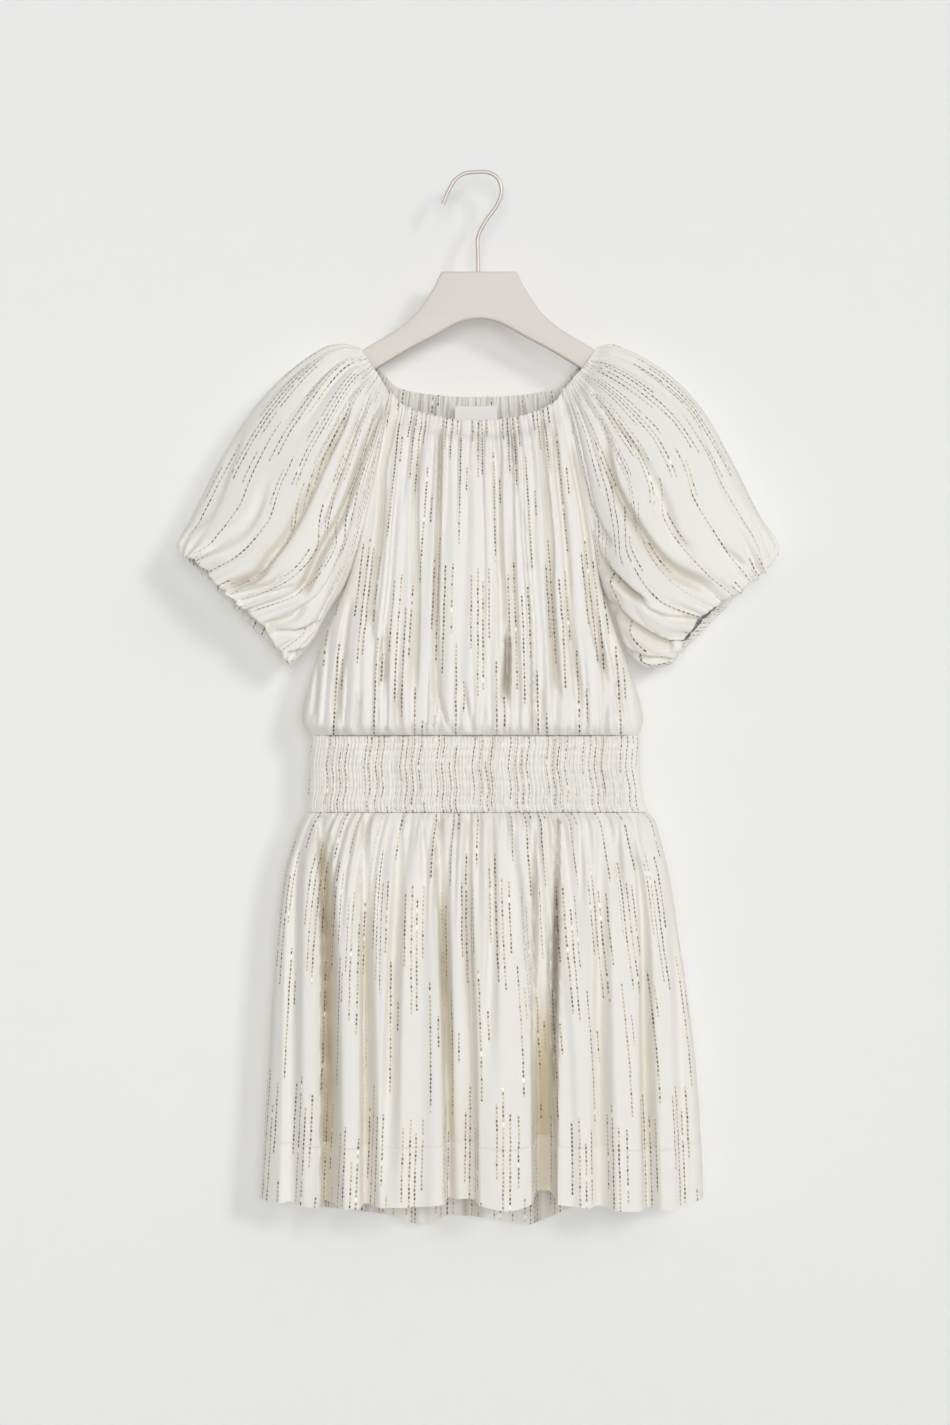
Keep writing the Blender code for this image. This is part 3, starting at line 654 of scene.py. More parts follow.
def panel_form(rows, levels, places, facing):
    """Across, height, seam depth and swell of a body panel's plain form, before folds and gathers."""
    table = columns_of(BODY_COLUMNS, rows)
    fall = -table["level"]
    side = "front" if facing < 0 else "back"
    found = {name: eased(-levels, fall, table[name])[:, None] for name in BODY_COLUMNS}
    middle = (found["left"] + found["right"]) / 2
    half = (found["right"] - found["left"]) / 2
    x = middle + half * places[None, :]
    lift = found["lift_back"] if facing > 0 else 0
    bow = np.sqrt(np.clip(1 - places**2, 0, 1))[None, :]
    z = levels[:, None] + lift - found["drop_" + side] * bow
    edge = found["edge_" + side] + HALF_SEAM
    crown = np.clip(1 - np.abs(places[None, :]) ** CROWN_POWER, 0, 1) ** found["round"]
    swell = (found[side] - edge) * crown
    return x, z, edge, swell


# Skirt
# Two gathered panels of crepe, front and back, sewn at the side seams and to the shirred waist.
# Rounded folds fall from the gathers to a deep double hem, stitched along its top edge.
SKIRT_ROWS = (
    (-0.638, -0.172, 0.168, 0, 0, 0.026, 0.02, 0, 0, 0, 0.5),
    (-0.645, -0.177, 0.175, 0, 0, 0.031, 0.024, 0, 0, 0, 0.5),
    (-0.668, -0.186, 0.182, 0, 0, 0.035, 0.027, 0, 0, 0, 0.5),
    (-0.705, -0.1955, 0.191, 0, 0, 0.038, 0.029, 0, 0, 0, 0.5),
    (-0.76, -0.202, 0.199, 0, 0, 0.041, 0.031, 0.001, 0.002, 0, 0.5),
    (-0.825, -0.207, 0.209, 0, 0, 0.043, 0.032, 0.002, 0.006, 0, 0.5),
    (-0.895, -0.211, 0.217, 0, 0, 0.045, 0.033, 0.003, 0.012, 0, 0.5),
    (-0.96, -0.215, 0.2215, 0, 0, 0.047, 0.034, 0.004, 0.022, 0, 0.5),
    (-1.023, -0.219, 0.224, 0, 0, 0.048, 0.035, 0.005, 0.03, 0, 0.5),
)
SKIRT_SPREAD = 264
SKIRT_DOWN = 106
HEM_LEVEL = -0.964
HEM_STEP = 0.0011
HEM_GROOVE = 0.0012
HEM_RISE = 0.0012
HEM_GROOVE_HALF = 0.0011
# Rows of points close together, about the hem's line of stitches
HEM_STITCH = np.array([-0.0016, -0.0008, 0, 0.0008, 0.0016])
SKIRT_FRONT_CREASES = (
    (((-160, -639), (-158, -700), (-155, -830), (-155, -1070)), 5, 25, 25, 0.02, 0, 1.8),
    (((-150, -639), (-149, -680), (-146, -730)), 4, 7, 6, 0.02, 0.5),
    (((-177, -660), (-184, -770), (-187, -1070)), 12, 15, 9, 0.2, 0),
    (((-114, -639), (-115.5, -750), (-115, -900), (-114, -1070)), 5, 20, 16, 0.02, 0, 1),
    (((-79, -639), (-82, -720), (-88, -860), (-92, -1070)), 10, 16, 13, 0.02, 0.3),
    (((-57, -639), (-55, -670), (-53, -720)), 5, 6, 7, 0.02, 0.5),
    (((-40, -639), (-39, -750), (-34, -880), (-30, -1070)), 5, 18, 21, 0.02, 0, 1),
    (((-20, -700), (-17, -900), (-16, -1070)), 18, 18, 15, 0.65, 0, 0, 0.3),
    (((-9, -639), (-9, -750), (-6, -880), (-5, -1070)), 12, 7, 14, 0.02, 0, -0.8),
    (((12, -645), (12, -740), (10, -840), (10, -920)), 8, 14, 8, 0.05, 0.5),
    (((32, -650), (38, -720), (40, -800)), 12, 12, 5, 0.1, 0.5),
    (((53, -645), (54, -760), (54, -860), (56, -1070)), 6, 10, 17, 0.05, 0, 1),
    (((63, -680), (64, -860), (65, -1070)), 16, 14, 34, 0.75, 0, 0, 0.4),
    (((79, -639), (78, -750), (76, -860), (74, -1070)), 11, 5, 25, 0.02, 0, -1.5),
    (((98, -639), (100, -680), (102, -740)), 5, 7, 7, 0.02, 0.5),
    (((120, -639), (120, -750), (119, -880), (120, -1070)), 12, 19, 12, 0.02, 0),
    (((136, -639), (138, -680), (140, -740)), 5, 7, 6, 0.02, 0.5),
    (((152, -639), (161, -750), (163, -880), (167, -1070)), 7, 17, 13, 0.02, 0, 0.8),
    (((186, -680), (198, -830), (205, -1070)), 12, 12, 8, 0.2, 0),
)
SKIRT_BACK_CREASES = (
    (((-150, -642), (-155, -860), (-160, -1090)), 10, 18, 12, 0.2, 0),
    (((-104, -642), (-108, -860), (-110, -1090)), 8, 20, 15, 0.2, 0, 2),
    (((-82, -642), (-80, -700), (-84, -780)), 6, 7, 5, 0.3, 0.5),
    (((-62, -642), (-58, -860), (-58, -1090)), 14, 10, 11, 0.2, 0),
    (((-18, -642), (-15, -860), (-10, -1090)), 8, 18, 16, 0.2, 0, 2),
    (((24, -642), (28, -800), (34, -980)), 10, 12, 8, 0.3, 0.5),
    (((60, -642), (62, -860), (66, -1090)), 12, 18, 14, 0.2, 0, -2),
    (((82, -642), (86, -700), (84, -760)), 6, 6, 5, 0.3, 0.5),
    (((104, -642), (110, -860), (116, -1090)), 9, 18, 12, 0.2, 0),
    (((148, -642), (158, -860), (166, -1090)), 12, 16, 10, 0.2, 0),
)
# How far the uneven hem hangs below its level, across
HEM_DIP_FRONT = (
    (-0.219, -0.003), (-0.16, 0.002), (-0.12, 0.001), (-0.06, -0.002), (-0.015, -0.005), (0.03, 0.002),
    (0.064, -0.007), (0.09, -0.002), (0.19, 0.006), (0.224, 0.001),
)
HEM_DIP_BACK = (
    (-0.219, -0.008), (-0.13, -0.006), (-0.095, -0.004), (-0.055, 0.004), (-0.03, -0.006), (0.01, -0.004),
    (0.048, 0.004), (0.072, -0.003), (0.1, -0.012), (0.224, -0.01),
)
VALLEY_LIFT = 0.2
# Where the hem's hang starts below the waist seam, and over what height it grows
HANG_FROM = 0.22
HANG_OVER = 0.16
SKIRT_GATHERS = (
    (0, 58, 0.35, 0.8, 0.0034, None, (0.006, 0.036)),
    (1, 26, 0.3, 1.1, 0.007, (-0.006, 0.02), (0.025, 0.12)),
    (2, 10, 0.45, 2, 0.0046, (0, 0.08), None),
)
SKIRT_SUNK = 0.003
# The shares of its width and of its depth that a crease has at its top
SKIRT_CREASE_TOPS = (0.45, 0.42)
# Painted shade in the skirt: how far it looks each way, how deep a valley gets it full, its share on the
# double hem, and its least anywhere
SKIRT_HOLLOW = (18, 0.0135)
HEM_SHADE = 0.6
LEAST_SHADE = 0.02


def skirt_panel(name, facing, creases, hem_dip, seed, flat):
    """A gathered panel: fine and coarse gathers at its top, listed folds and an uneven hem."""
    levels = np.concatenate([np.linspace(-0.638 - HALF_SEAM, -1.023, SKIRT_DOWN), HEM_LEVEL + HEM_STITCH])
    levels = np.sort(levels)[::-1]
    places = np.linspace(-1, 1, SKIRT_SPREAD)
    x, z, edge, swell = panel_form(SKIRT_ROWS, levels, places, facing)
    below = (-0.638 - levels)[:, None]
    sunk, leaning = crease_field(x, z, creases, *SKIRT_CREASE_TOPS)
    calm = quiet_edges(places, 10)
    gathers = (gathered(places, seed, below, SKIRT_GATHERS) - SKIRT_SUNK) * calm
    sunk = np.minimum(sunk, DEEPEST_SHARE * swell + 0.0001)
    hem = HEM_STEP * smooth((HEM_LEVEL - levels) / HEM_RISE + 0.5)[:, None]
    hem = hem - HEM_GROOVE * np.exp(-(((levels - HEM_LEVEL) / HEM_GROOVE_HALF) ** 2))[:, None]
    proud = edge + swell - sunk + gathers + hem
    low = smooth((below - HANG_FROM) / HANG_OVER)
    hang = eased(x, *zip(*hem_dip)) * calm - VALLEY_LIFT * sunk
    points = np.stack([x + leaning * calm, facing * proud, z - hang * low], axis=-1)
    # Painted shade in the folds' valleys, at least a little everywhere and less on the double hem
    valley_shade = np.maximum(painted_valley_shade(proud, *SKIRT_HOLLOW), LEAST_SHADE)
    piece = cloth_piece(
        name,
        points,
        laid_across(points, -12, flat[0]),
        (levels[0] - levels)[:, None],
        np.where(levels[:, None] < HEM_LEVEL, HEM_SHADE, 1) * valley_shade,
        facing > 0,
    )
    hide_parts(name.replace("_crepe", ""))
    return piece


skirt_panel("skirt_front_crepe", -1, SKIRT_FRONT_CREASES, HEM_DIP_FRONT, 11, (0.600, 0.455))
skirt_panel("skirt_back_crepe", 1, SKIRT_BACK_CREASES, HEM_DIP_BACK, 23, (0.590, 0.475))

# Waist
# A shirred band of the same crepe, front and back, gathered by nine rows of elastic thread.
# The rows pinch it in, and between them it stands up in fine upright ridges.
WAIST_ROWS = (
    (-0.561, -0.168, 0.16, 0, 0, 0.026, 0.02, 0, 0, 0, 0.5),
    (-0.6, -0.17, 0.161, 0, 0, 0.0265, 0.0205, 0, 0, 0, 0.5),
    (-0.638, -0.172, 0.168, 0, 0, 0.026, 0.02, 0, 0, 0, 0.5),
)
WAIST_SPREAD = 640
WAIST_DOWN = 41
ELASTIC_ROWS = 9
RIDGES = 112
# The ridges' height on a row of elastic, what they gain between rows, and the band's own swell there
RIDGE_HEIGHT = 0.0023
RIDGE_GAIN = 0.0022
ROW_SWELL = 0.0008
WAIST_SUNK = 0.0029
# Painted shade between the ridges: how far it looks each way, how deep a valley gets it full, and its
# share
WAIST_HOLLOW = (5, 0.0034)
WAIST_SHADE = 0.35
PINCH_POWER = 0.6
# How far the ridges wander from row to row, and how much of them runs through all the rows
RIDGE_WAVER = 0.006
RIDGE_RUN = 0.75
THREAD_DRIFT = 1.1
# Where the chart of threads starts, across and along
WAIST_CHART = (0.4, 0.31)
# The ridges show about half of the cloth, and hide the lines of thread in their valleys
WAIST_SHOWS = 0.360
shirred_crepe = crepe("shirred_crepe", LINE_HALF * 0.64)


def waist_panel(name, facing, seed):
    """A shirred panel: fine upright ridges, pinched along each row of elastic."""
    levels = np.linspace(-0.561 - HALF_SEAM, -0.638 + HALF_SEAM, WAIST_DOWN)
    places = np.linspace(-1, 1, WAIST_SPREAD)
    x, z, edge, swell = panel_form(WAIST_ROWS, levels, places, facing)
    band = (levels[0] - levels) / (levels[0] - levels[-1]) * (ELASTIC_ROWS + 1)
    pinch = np.abs(np.sin(np.pi * band))[:, None] ** PINCH_POWER
    chance = np.random.default_rng(seed)
    waver = chance.normal(0, RIDGE_WAVER, (ELASTIC_ROWS + 2,))
    drift = eased(band, np.arange(ELASTIC_ROWS + 2), waver)
    ridges = np.stack([pipes(np.clip(places + d, -1, 1), RIDGES, seed) for d in drift])
    rows_apart = np.stack([pipes(places, RIDGES, seed + 1 + int(k)) for k in np.floor(band)])
    ridges = ridges * RIDGE_RUN + rows_apart * (1 - RIDGE_RUN)
    calm = quiet_edges(places, 16)
    relief = ridges * (RIDGE_HEIGHT + RIDGE_GAIN * pinch) + ROW_SWELL * pinch - WAIST_SUNK
    points = np.stack([x, facing * (edge + swell + relief * calm), z], axis=-1)
    piece = cloth_piece(
        name,
        points,
        (places[None, :] + drift[:, None] * THREAD_DRIFT) * WAIST_SHOWS / 2 + WAIST_CHART[0],
        (levels[0] - levels)[:, None] + WAIST_CHART[1],
        # Painted shade in the valleys between the ridges
        painted_valley_shade(relief, *WAIST_HOLLOW) * WAIST_SHADE,
        facing > 0,
        shirred_crepe,
    )
    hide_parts(name.replace("_crepe", ""))
    return piece


waist_panel("waist_front_crepe", -1, 5)
waist_panel("waist_back_crepe", 1, 7)

# Bodice
# Two raglan panels of crepe, gathered by elastic at the neck and again into the waist seam.
# They blouse a little over that seam, and long narrow folds run down them.
BODICE_ROWS = (
    (-0.216, -0.087, 0.083, 0.013, 0.013, 0.022, 0.018, 0.033, 0.014, 0.008, 1),
    (-0.225, -0.0885, 0.085, 0.0145, 0.014, 0.0235, 0.0185, 0.033, 0.014, 0.008, 1),
    (-0.246, -0.092, 0.0905, 0.022, 0.018, 0.033, 0.024, 0.024, 0.012, 0.007, 1),
    (-0.29, -0.1, 0.099, 0.028, 0.022, 0.039, 0.027, 0.014, 0.008, 0.004, 0.9),
    (-0.335, -0.11, 0.107, 0.028, 0.022, 0.041, 0.028, 0.006, 0.004, 0.001, 0.8),
    (-0.378, -0.121, 0.1155, 0.02, 0.016, 0.041, 0.028, 0.002, 0.001, 0, 0.6),
    (-0.411, -0.133, 0.122, 0.0024, 0.0024, 0.04, 0.027, 0, 0, 0, 0.5),
    (-0.445, -0.148, 0.133, 0, 0, 0.04, 0.027, 0, 0, 0, 0.5),
    (-0.495, -0.166, 0.15, 0, 0, 0.04, 0.0275, 0, 0, 0, 0.5),
    (-0.546, -0.1775, 0.164, 0, 0, 0.0395, 0.0285, 0, 0, 0, 0.5),
    (-0.561, -0.168, 0.16, 0, 0, 0.026, 0.02, 0, 0, 0, 0.5),
)
BODICE_SPREAD = 264
BODICE_DOWN = 104
BODICE_FRONT_CREASES = (
    (((-83, -243), (-86, -262), (-93, -300), (-94, -330), (-97, -370), (-101, -398), (-105, -430),
      (-107, -475)), 10, 4, 10, 0.06, 0.12, -0.8),
    (((-60, -258), (-61, -330), (-61, -370), (-60, -410), (-61, -470), (-64, -530)),
     12, 4, 9, 0.12, 0.15, -0.6),
    (((-38, -250), (-38.5, -300), (-40, -370), (-42, -430), (-42, -500), (-41, -530)),
     7, 5, 10, 0.06, 0.1, -0.6),
    (((-41, -515), (-43, -535), (-48, -555)), 4, 3, 6, 0.3, 0.1),
    (((-41, -515), (-36, -535), (-29, -556)), 3, 4, 6, 0.3, 0.1),
    (((-95, -445), (-94, -470), (-95, -500), (-98, -530)), 3, 8, 7, 0.3, 0.3),
    (((-126, -420), (-132, -450), (-136, -485), (-140, -520), (-140, -553)), 8, 8, 9, 0.2, 0.15),
    (((-160, -480), (-162, -515), (-165, -545)), 5, 5, 6, 0.3, 0.2),
    (((-1, -246), (-1, -275), (-1, -310)), 5, 4, 6, 0.2, 0.5),
    (((14, -246), (16, -290), (18, -350), (19, -390), (21, -430), (21, -500)), 4, 9, 8, 0.08, 0.15, 0.6),
    (((27, -440), (28.5, -475), (27.5, -510), (26, -535)), 7, 5, 21, 0.35, 0.4, 0, 0.2),
    (((32, -246), (33, -330), (34.5, -410), (38, -480), (40, -545)), 5, 4, 5, 0.1, 0.1),
    (((60, -246), (65, -300), (70, -340), (73, -380), (72.5, -420), (76, -480), (81, -535)),
     11, 4, 9, 0.08, 0.1, -0.6),
    (((73, -246), (76, -300), (82, -350), (86, -400), (88, -450), (95, -505), (99, -550)),
     4, 9, 8, 0.08, 0.12, 0.6),
    (((87, -262), (95, -305), (102.5, -348), (107, -390), (109, -430), (115, -465), (124, -500),
      (131, -540)), 4, 10, 11, 0.1, 0.12, 0.6),
    (((128, -455), (136, -500), (142, -548)), 5, 6, 6, 0.3, 0.1),
    (((-118, -510), (-119, -530), (-122, -556)), 5, 5, 5, 0.5, 0.1),
    (((-80, -505), (-80, -530), (-78, -556)), 5, 6, 5, 0.5, 0.1),
    (((60, -505), (60, -530), (58, -556)), 5, 6, 5, 0.4, 0.1),
    (((-16, -500), (-13, -530), (-8, -556)), 5, 6, 6, 0.5, 0.1),
    (((4, -520), (3, -540), (0, -557)), 4, 5, 5, 0.5, 0.1),
)
BODICE_BACK_CREASES = (
    (((-72, -240), (-80, -370), (-88, -500)), 7, 9, 7, 0.2, 0.3, 1),
    (((-33, -240), (-37, -400), (-41, -553)), 8, 9, 8, 0.2, 0.1),
    (((8, -300), (9, -430), (10, -553)), 7, 10, 9, 0.4, 0.1),
    (((45, -240), (48, -350), (50, -460)), 7, 8, 8, 0.2, 0.4),
    (((74, -250), (90, -400), (104, -553)), 7, 9, 7, 0.3, 0.1),
    (((-120, -440), (-124, -500), (-128, -553)), 8, 8, 7, 0.4, 0.1),
    (((-62, -430), (-64, -500), (-64, -553)), 7, 7, 6, 0.4, 0.1),
    (((70, -470), (74, -520), (74, -556)), 7, 7, 6, 0.4, 0.1),
)
# The warp runs nearly straight down the bodice, and the raglan and side seams cut across it
# Height, and how far from the middle the warp thread lies that meets the neck's end
WARP_FAN = (
    (-0.216, 0.087), (-0.246, 0.0915), (-0.32, 0.099), (-0.4, 0.108), (-0.48, 0.116), (-0.561, 0.12),
)
WARP_REACH = 1.5
WARP_SWAY = 0.004
SWAY_DOWN = 38
SWAY_ACROSS = 6
CLOTH_TO_FAN = 0.116
# Where the chart of threads starts: across, and at the neck of front and back
CHART_ACROSS = 0.21
CHART_FRONT = 0.12
CHART_BACK = 0.24
PUFFS = 34
PUFF_EVENNESS = 0.35
PUFF_HANG = 0.004
# Heights above the waist seam: the puffs' rise, where they start to fade, and over how much
PUFF_RISE = 0.006
PUFF_FROM = 0.008
PUFF_FADE = 0.020
CASING_PIPES = 66
CASING_FRILL = 0.0016
CASING_DEEP = 0.008
CASING_FADE = 0.004
BODICE_SUNK = 0.0024
BODICE_CREASE_TOPS = (0.6, 0.7)
# Painted shade in the folds: how far it looks each way, how deep a valley gets it full, and its share
BODICE_HOLLOW = (9, 0.0090)
BODICE_SHADE = 0.8
BODICE_TOP_GATHERS = (
    (0, CASING_PIPES, 0.4, 0.8, 0.0028, None, (0.016, 0.045)),
    (1, 32, 0.25, 1.1, 0.0056, (-0.004, 0.022), (0.038, 0.13)),
    (4, 26, 0.25, 1.8, 0.0032, (0.06, 0.08), None),
)
BODICE_FOOT_GATHERS = (
    (2, 74, 0.4, 0.8, 0.0028, None, (0.003, 0.03)),
    (3, PUFFS, PUFF_EVENNESS, 0.8, 0.0052, (-0.004, 0.012), (0.03, 0.11)),
)


def bodice_panel(name, facing, creases, seed):
    """A raglan panel: gathers at the neck's casing and the waist, and listed folds between."""
    levels = np.linspace(-0.216, -0.561 + HALF_SEAM, BODICE_DOWN)
    places = np.linspace(-1, 1, BODICE_SPREAD)
    x, z, edge, swell = panel_form(BODICE_ROWS, levels, places, facing)
    below = (-0.216 - levels)[:, None]
    above = (levels + 0.561)[:, None]
    sunk, leaning = crease_field(x, z, creases, *BODICE_CREASE_TOPS)
    sunk = np.minimum(sunk, DEEPEST_SHARE * (swell + edge * 0.4) + 0.0001)
    heights, fans = zip(*WARP_FAN)
    warp = x / eased(-levels, [-h for h in heights], fans)[:, None]
    flow = warp / WARP_REACH + WARP_SWAY * np.sin(levels[:, None] * SWAY_DOWN + warp * SWAY_ACROSS)
    casing = 1 - smooth((below - CASING_DEEP) / CASING_FADE)
    calm = quiet_edges(places, 12)
    top = gathered(flow, seed, below, BODICE_TOP_GATHERS)
    foot = gathered(flow, seed, above, BODICE_FOOT_GATHERS)
    gathers = (top + foot - BODICE_SUNK) * calm
    proud = edge + swell - sunk + gathers
    puffs = pipes(flow, PUFFS, seed + 3, PUFF_EVENNESS) * PUFF_HANG * calm
    hang = puffs * smooth(above / PUFF_RISE) * (1 - smooth((above - PUFF_FROM) / PUFF_FADE))
    frill = pipes(flow, CASING_PIPES, seed) * CASING_FRILL * casing
    points = np.stack([x + leaning * calm, facing * proud, z + frill - hang], axis=-1)
    piece = cloth_piece(
        name,
        points,
        warp * CLOTH_TO_FAN + CHART_ACROSS,
        (levels[0] - levels)[:, None] + (CHART_FRONT if facing < 0 else CHART_BACK),
        # Painted shade in the folds' valleys
        painted_valley_shade(proud, *BODICE_HOLLOW) * BODICE_SHADE,
        facing > 0,
    )
    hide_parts(name.replace("_crepe", ""))
    return piece


bodice_panel("bodice_front_crepe", -1, BODICE_FRONT_CREASES, 31)
bodice_panel("bodice_back_crepe", 1, BODICE_BACK_CREASES, 41)

# Sleeves
# Balloon sleeves, each one piece of crepe, set in with raglan seams.
# Elastic gathers them at neck and cuff. The cloth sweeps round from one to the other and blouses
# over the cuff, fullest at the outer side.
SLEEVE_COLUMNS = "top_x top_z puff_front puff_back square".split()
SLEEVE_TOP_LEFT = (
    (-0.1195, -0.1725, 0.0136, 0.0136, 0.6),
    (-0.1285, -0.1715, 0.0165, 0.016, 0.65),
    (-0.146, -0.172, 0.027, 0.022, 0.8),
    (-0.184, -0.193, 0.04, 0.033, 0.9),
    (-0.226, -0.233, 0.048, 0.038, 0.9),
    (-0.26, -0.284, 0.052, 0.04, 0.9),
    (-0.283, -0.329, 0.052, 0.04, 0.85),
    (-0.294, -0.352, 0.048, 0.037, 0.8),
    (-0.299, -0.366, 0.042, 0.033, 0.75),
    (-0.2985, -0.374, 0.036, 0.028, 0.7),
    (-0.296, -0.38, 0.03, 0.023, 0.7),
)
SLEEVE_TOP_RIGHT = (
    (0.1185, -0.1725, 0.0136, 0.0136, 0.6),
    (0.1275, -0.1715, 0.0165, 0.016, 0.65),
    (0.146, -0.176, 0.027, 0.022, 0.8),
    (0.184, -0.196, 0.04, 0.033, 0.9),
    (0.2235, -0.233, 0.048, 0.038, 0.9),
    (0.2535, -0.284, 0.052, 0.04, 0.9),
    (0.274, -0.325, 0.052, 0.04, 0.85),
    (0.287, -0.35, 0.048, 0.037, 0.8),
    (0.295, -0.364, 0.042, 0.033, 0.75),
    (0.297, -0.373, 0.036, 0.028, 0.7),
    (0.2965, -0.38, 0.03, 0.023, 0.7),
)
UNDERARM_ROW = 6
UNDER_SEAM_LEFT = (
    (-0.151, -0.44), (-0.165, -0.466), (-0.18, -0.482), (-0.187, -0.49),
)
UNDER_SEAM_RIGHT = (
    (0.1345, -0.44), (0.147, -0.476), (0.17, -0.494), (0.19, -0.49),
)
RAGLAN_GAP = 0.0002
SLEEVE_SPREAD = 300
SLEEVE_DOWN = 108
# How the warp sweeps over the sleeve's front, from the raglan seam, 0, to the sleeve's top, 1
# Across and height in millimetres of each of its lines at the rows named, from the neck to the cuff
FLOW_ROWS = (0, 2, 4, 6, 8, 10)
FLOW_PLACES = (0, 0.2, 0.4, 0.6, 0.8, 1)
FLOW_LEFT = (
    ((-88.8, -222.5), (-94, -244), (-113.4, -310), (-133, -373.5), (-160, -422), (-214, -450)),
    ((-93, -214.5), (-100, -238), (-125.5, -314), (-155, -380), (-193, -415), (-236, -430.5)),
    ((-99.5, -203), (-112, -220.5), (-149, -284.5), (-193, -368), (-224, -399), (-253.5, -414)),
    ((-108.5, -190), (-127, -200), (-176.5, -262), (-226, -339), (-257, -373.5), (-279, -387)),
)
FLOW_RIGHT = (
    ((86, -214.5), (96.5, -242), (119.5, -319), (144, -388), (178.5, -433), (215, -445.5)),
    ((90.5, -209.5), (103.5, -232.5), (141, -299.5), (168.5, -358.5), (206, -403), (240, -427.5)),
    ((96.5, -202), (114.5, -218.5), (163.5, -270), (208, -334), (239.5, -380), (265.5, -410)),
    ((105.5, -192), (127, -202), (190, -245), (239.5, -314), (267, -362), (282.5, -396)),
)
# The cuff's edge rolls under on its elastic: how far back up the sleeve, and how much narrower
ROLL_STEPS = 6
ROLL_UP = 0.010
ROLL_NARROWER = 0.35
ROLL_OUT = 0.0015
# How far the folds spill past the cuff, the shares of both sets of pipes in it, and over how many rows
SCALLOP = 0.0045
SPILL_FOLDS = 0.7
SPILL_PIPES = 0.3
SPILL_ROWS = 1.5
# How much closer the sleeve's lines of thread lie, and how much of its length the chart counts
SLEEVE_LINES = 1.18
SLEEVE_RUN = 0.82
# Where the sleeve's chart starts, across and along, and how far down the sleeve is widest
SLEEVE_CHART = (0.35, 0.05)
WIDEST_SHARE = 0.55
# Distances of these gathers are in rows of the sleeve's table
CUFF_PIPES = 46
CUFF_FOLDS = 23
SLEEVE_NECK_GATHERS = (
    (0, 40, 0.55, 0.8, 0.002, None, (1.2, 1)),
    (1, 19, 0.55, 0.8, 0.0052, (0.4, 1.2), (2.2, 2.4)),
)
SLEEVE_CUFF_GATHERS = (
    (2, CUFF_PIPES, 0.55, 0.8, 0.003, None, (0.3, 2.2)),
    (3, CUFF_FOLDS, 0.55, 0.8, 0.006, None, (0.8, 3.2)),
)
SLEEVE_SUNK = 0.002
SLEEVE_CREASE_TOPS = (0.5, 0.8)
# Painted shade in the folds: how far it looks each way, how deep a valley gets it full, and its share
SLEEVE_HOLLOW = (9, 0.0100)
SLEEVE_SHADE = 0.7
SLEEVE_LEFT_CREASES = (
    (((-90, -226), (-104, -254), (-116.5, -290), (-125.5, -319), (-136, -347), (-155, -380), (-169, -410),
      (-180, -425)), 9, 8, 15, 0.1, 0.12),
    (((-127, -231), (-136, -255), (-151, -285), (-163, -311), (-174, -334), (-192, -366), (-208, -386),
      (-220, -403), (-240, -412), (-253, -414)), 8, 9, 13, 0.08, 0.15),
    (((-107.5, -222), (-121, -255), (-132, -285), (-142, -314), (-153, -341), (-165, -368)),
     8, 7, 7, 0.15, 0.3),
    (((-176.5, -411), (-196, -418), (-214, -423), (-236, -430)), 5, 5, 6, 0.25, 0.05),
    (((-188, -394), (-204, -411), (-226, -418), (-246, -422)), 6, 5, 6, 0.25, 0.05),
    (((-170, -430), (-185, -445), (-212, -452)), 6, 6, 8, 0.25, 0.05),
    (((-155, -448), (-176.5, -457), (-204, -457)), 5, 5, 7, 0.2, 0.05),
    (((-160, -468), (-172, -477), (-190, -479)), 5, 5, 7, 0.2, 0.05),
    (((-208, -299), (-224, -344), (-247.5, -368), (-280, -381)), 13, 13, 4, 0.3, 0.2),
    (((-231, -240), (-250, -290), (-268, -335), (-290, -362)), 12, 12, 3, 0.3, 0.2),
)
SLEEVE_RIGHT_CREASES = (
    (((121, -240), (129, -299), (139, -329), (155, -357), (173.5, -383), (198, -403), (238, -418)),
     10, 10, 14, 0.15, 0.15),
    (((108, -212), (119, -235), (131, -252), (145, -270), (161, -290), (173.5, -314)),
     6, 9, 7, 0.15, 0.3),
    (((90, -260), (99.5, -299), (107.5, -334), (111.5, -368), (119, -390), (133, -407), (149, -422),
      (166.5, -433.5)), 6, 7, 16, 0.2, 0.12),
    (((109, -329), (119, -359), (131, -376)), 7, 7, 7, 0.3, 0.3),
    (((159, -431.5), (183, -444), (218, -447)), 5, 5, 8, 0.2, 0.05),
    (((129, -425.5), (144, -445), (163.5, -460), (193, -475)), 9, 6, 12, 0.15, 0.1),
    (((137, -468), (159, -483), (190, -486)), 4, 4, 6, 0.2, 0.1),
    (((232.5, -368), (255, -388), (277, -398)), 7, 7, 4, 0.3, 0.1),
    (((159, -285), (180, -329), (193, -368), (218, -388)), 12, 13, 6, 0.25, 0.3),
    (((215, -235), (236, -290), (254, -335), (280, -362)), 12, 12, 3, 0.3, 0.2),
)
# Folds of the hidden back of each sleeve, as of the front
SLEEVE_BACK_CREASES = (
    (((95, -228), (115, -300), (150, -370), (180, -430)), 8, 10, 12, 0.12, 0.2),
    (((130, -225), (165, -300), (205, -365), (240, -412)), 9, 11, 11, 0.12, 0.2),
    (((170, -290), (215, -340), (262, -390)), 9, 9, 6, 0.3, 0.2),
    (((160, -420), (190, -440), (215, -450)), 8, 8, 6, 0.3, 0.1),
)


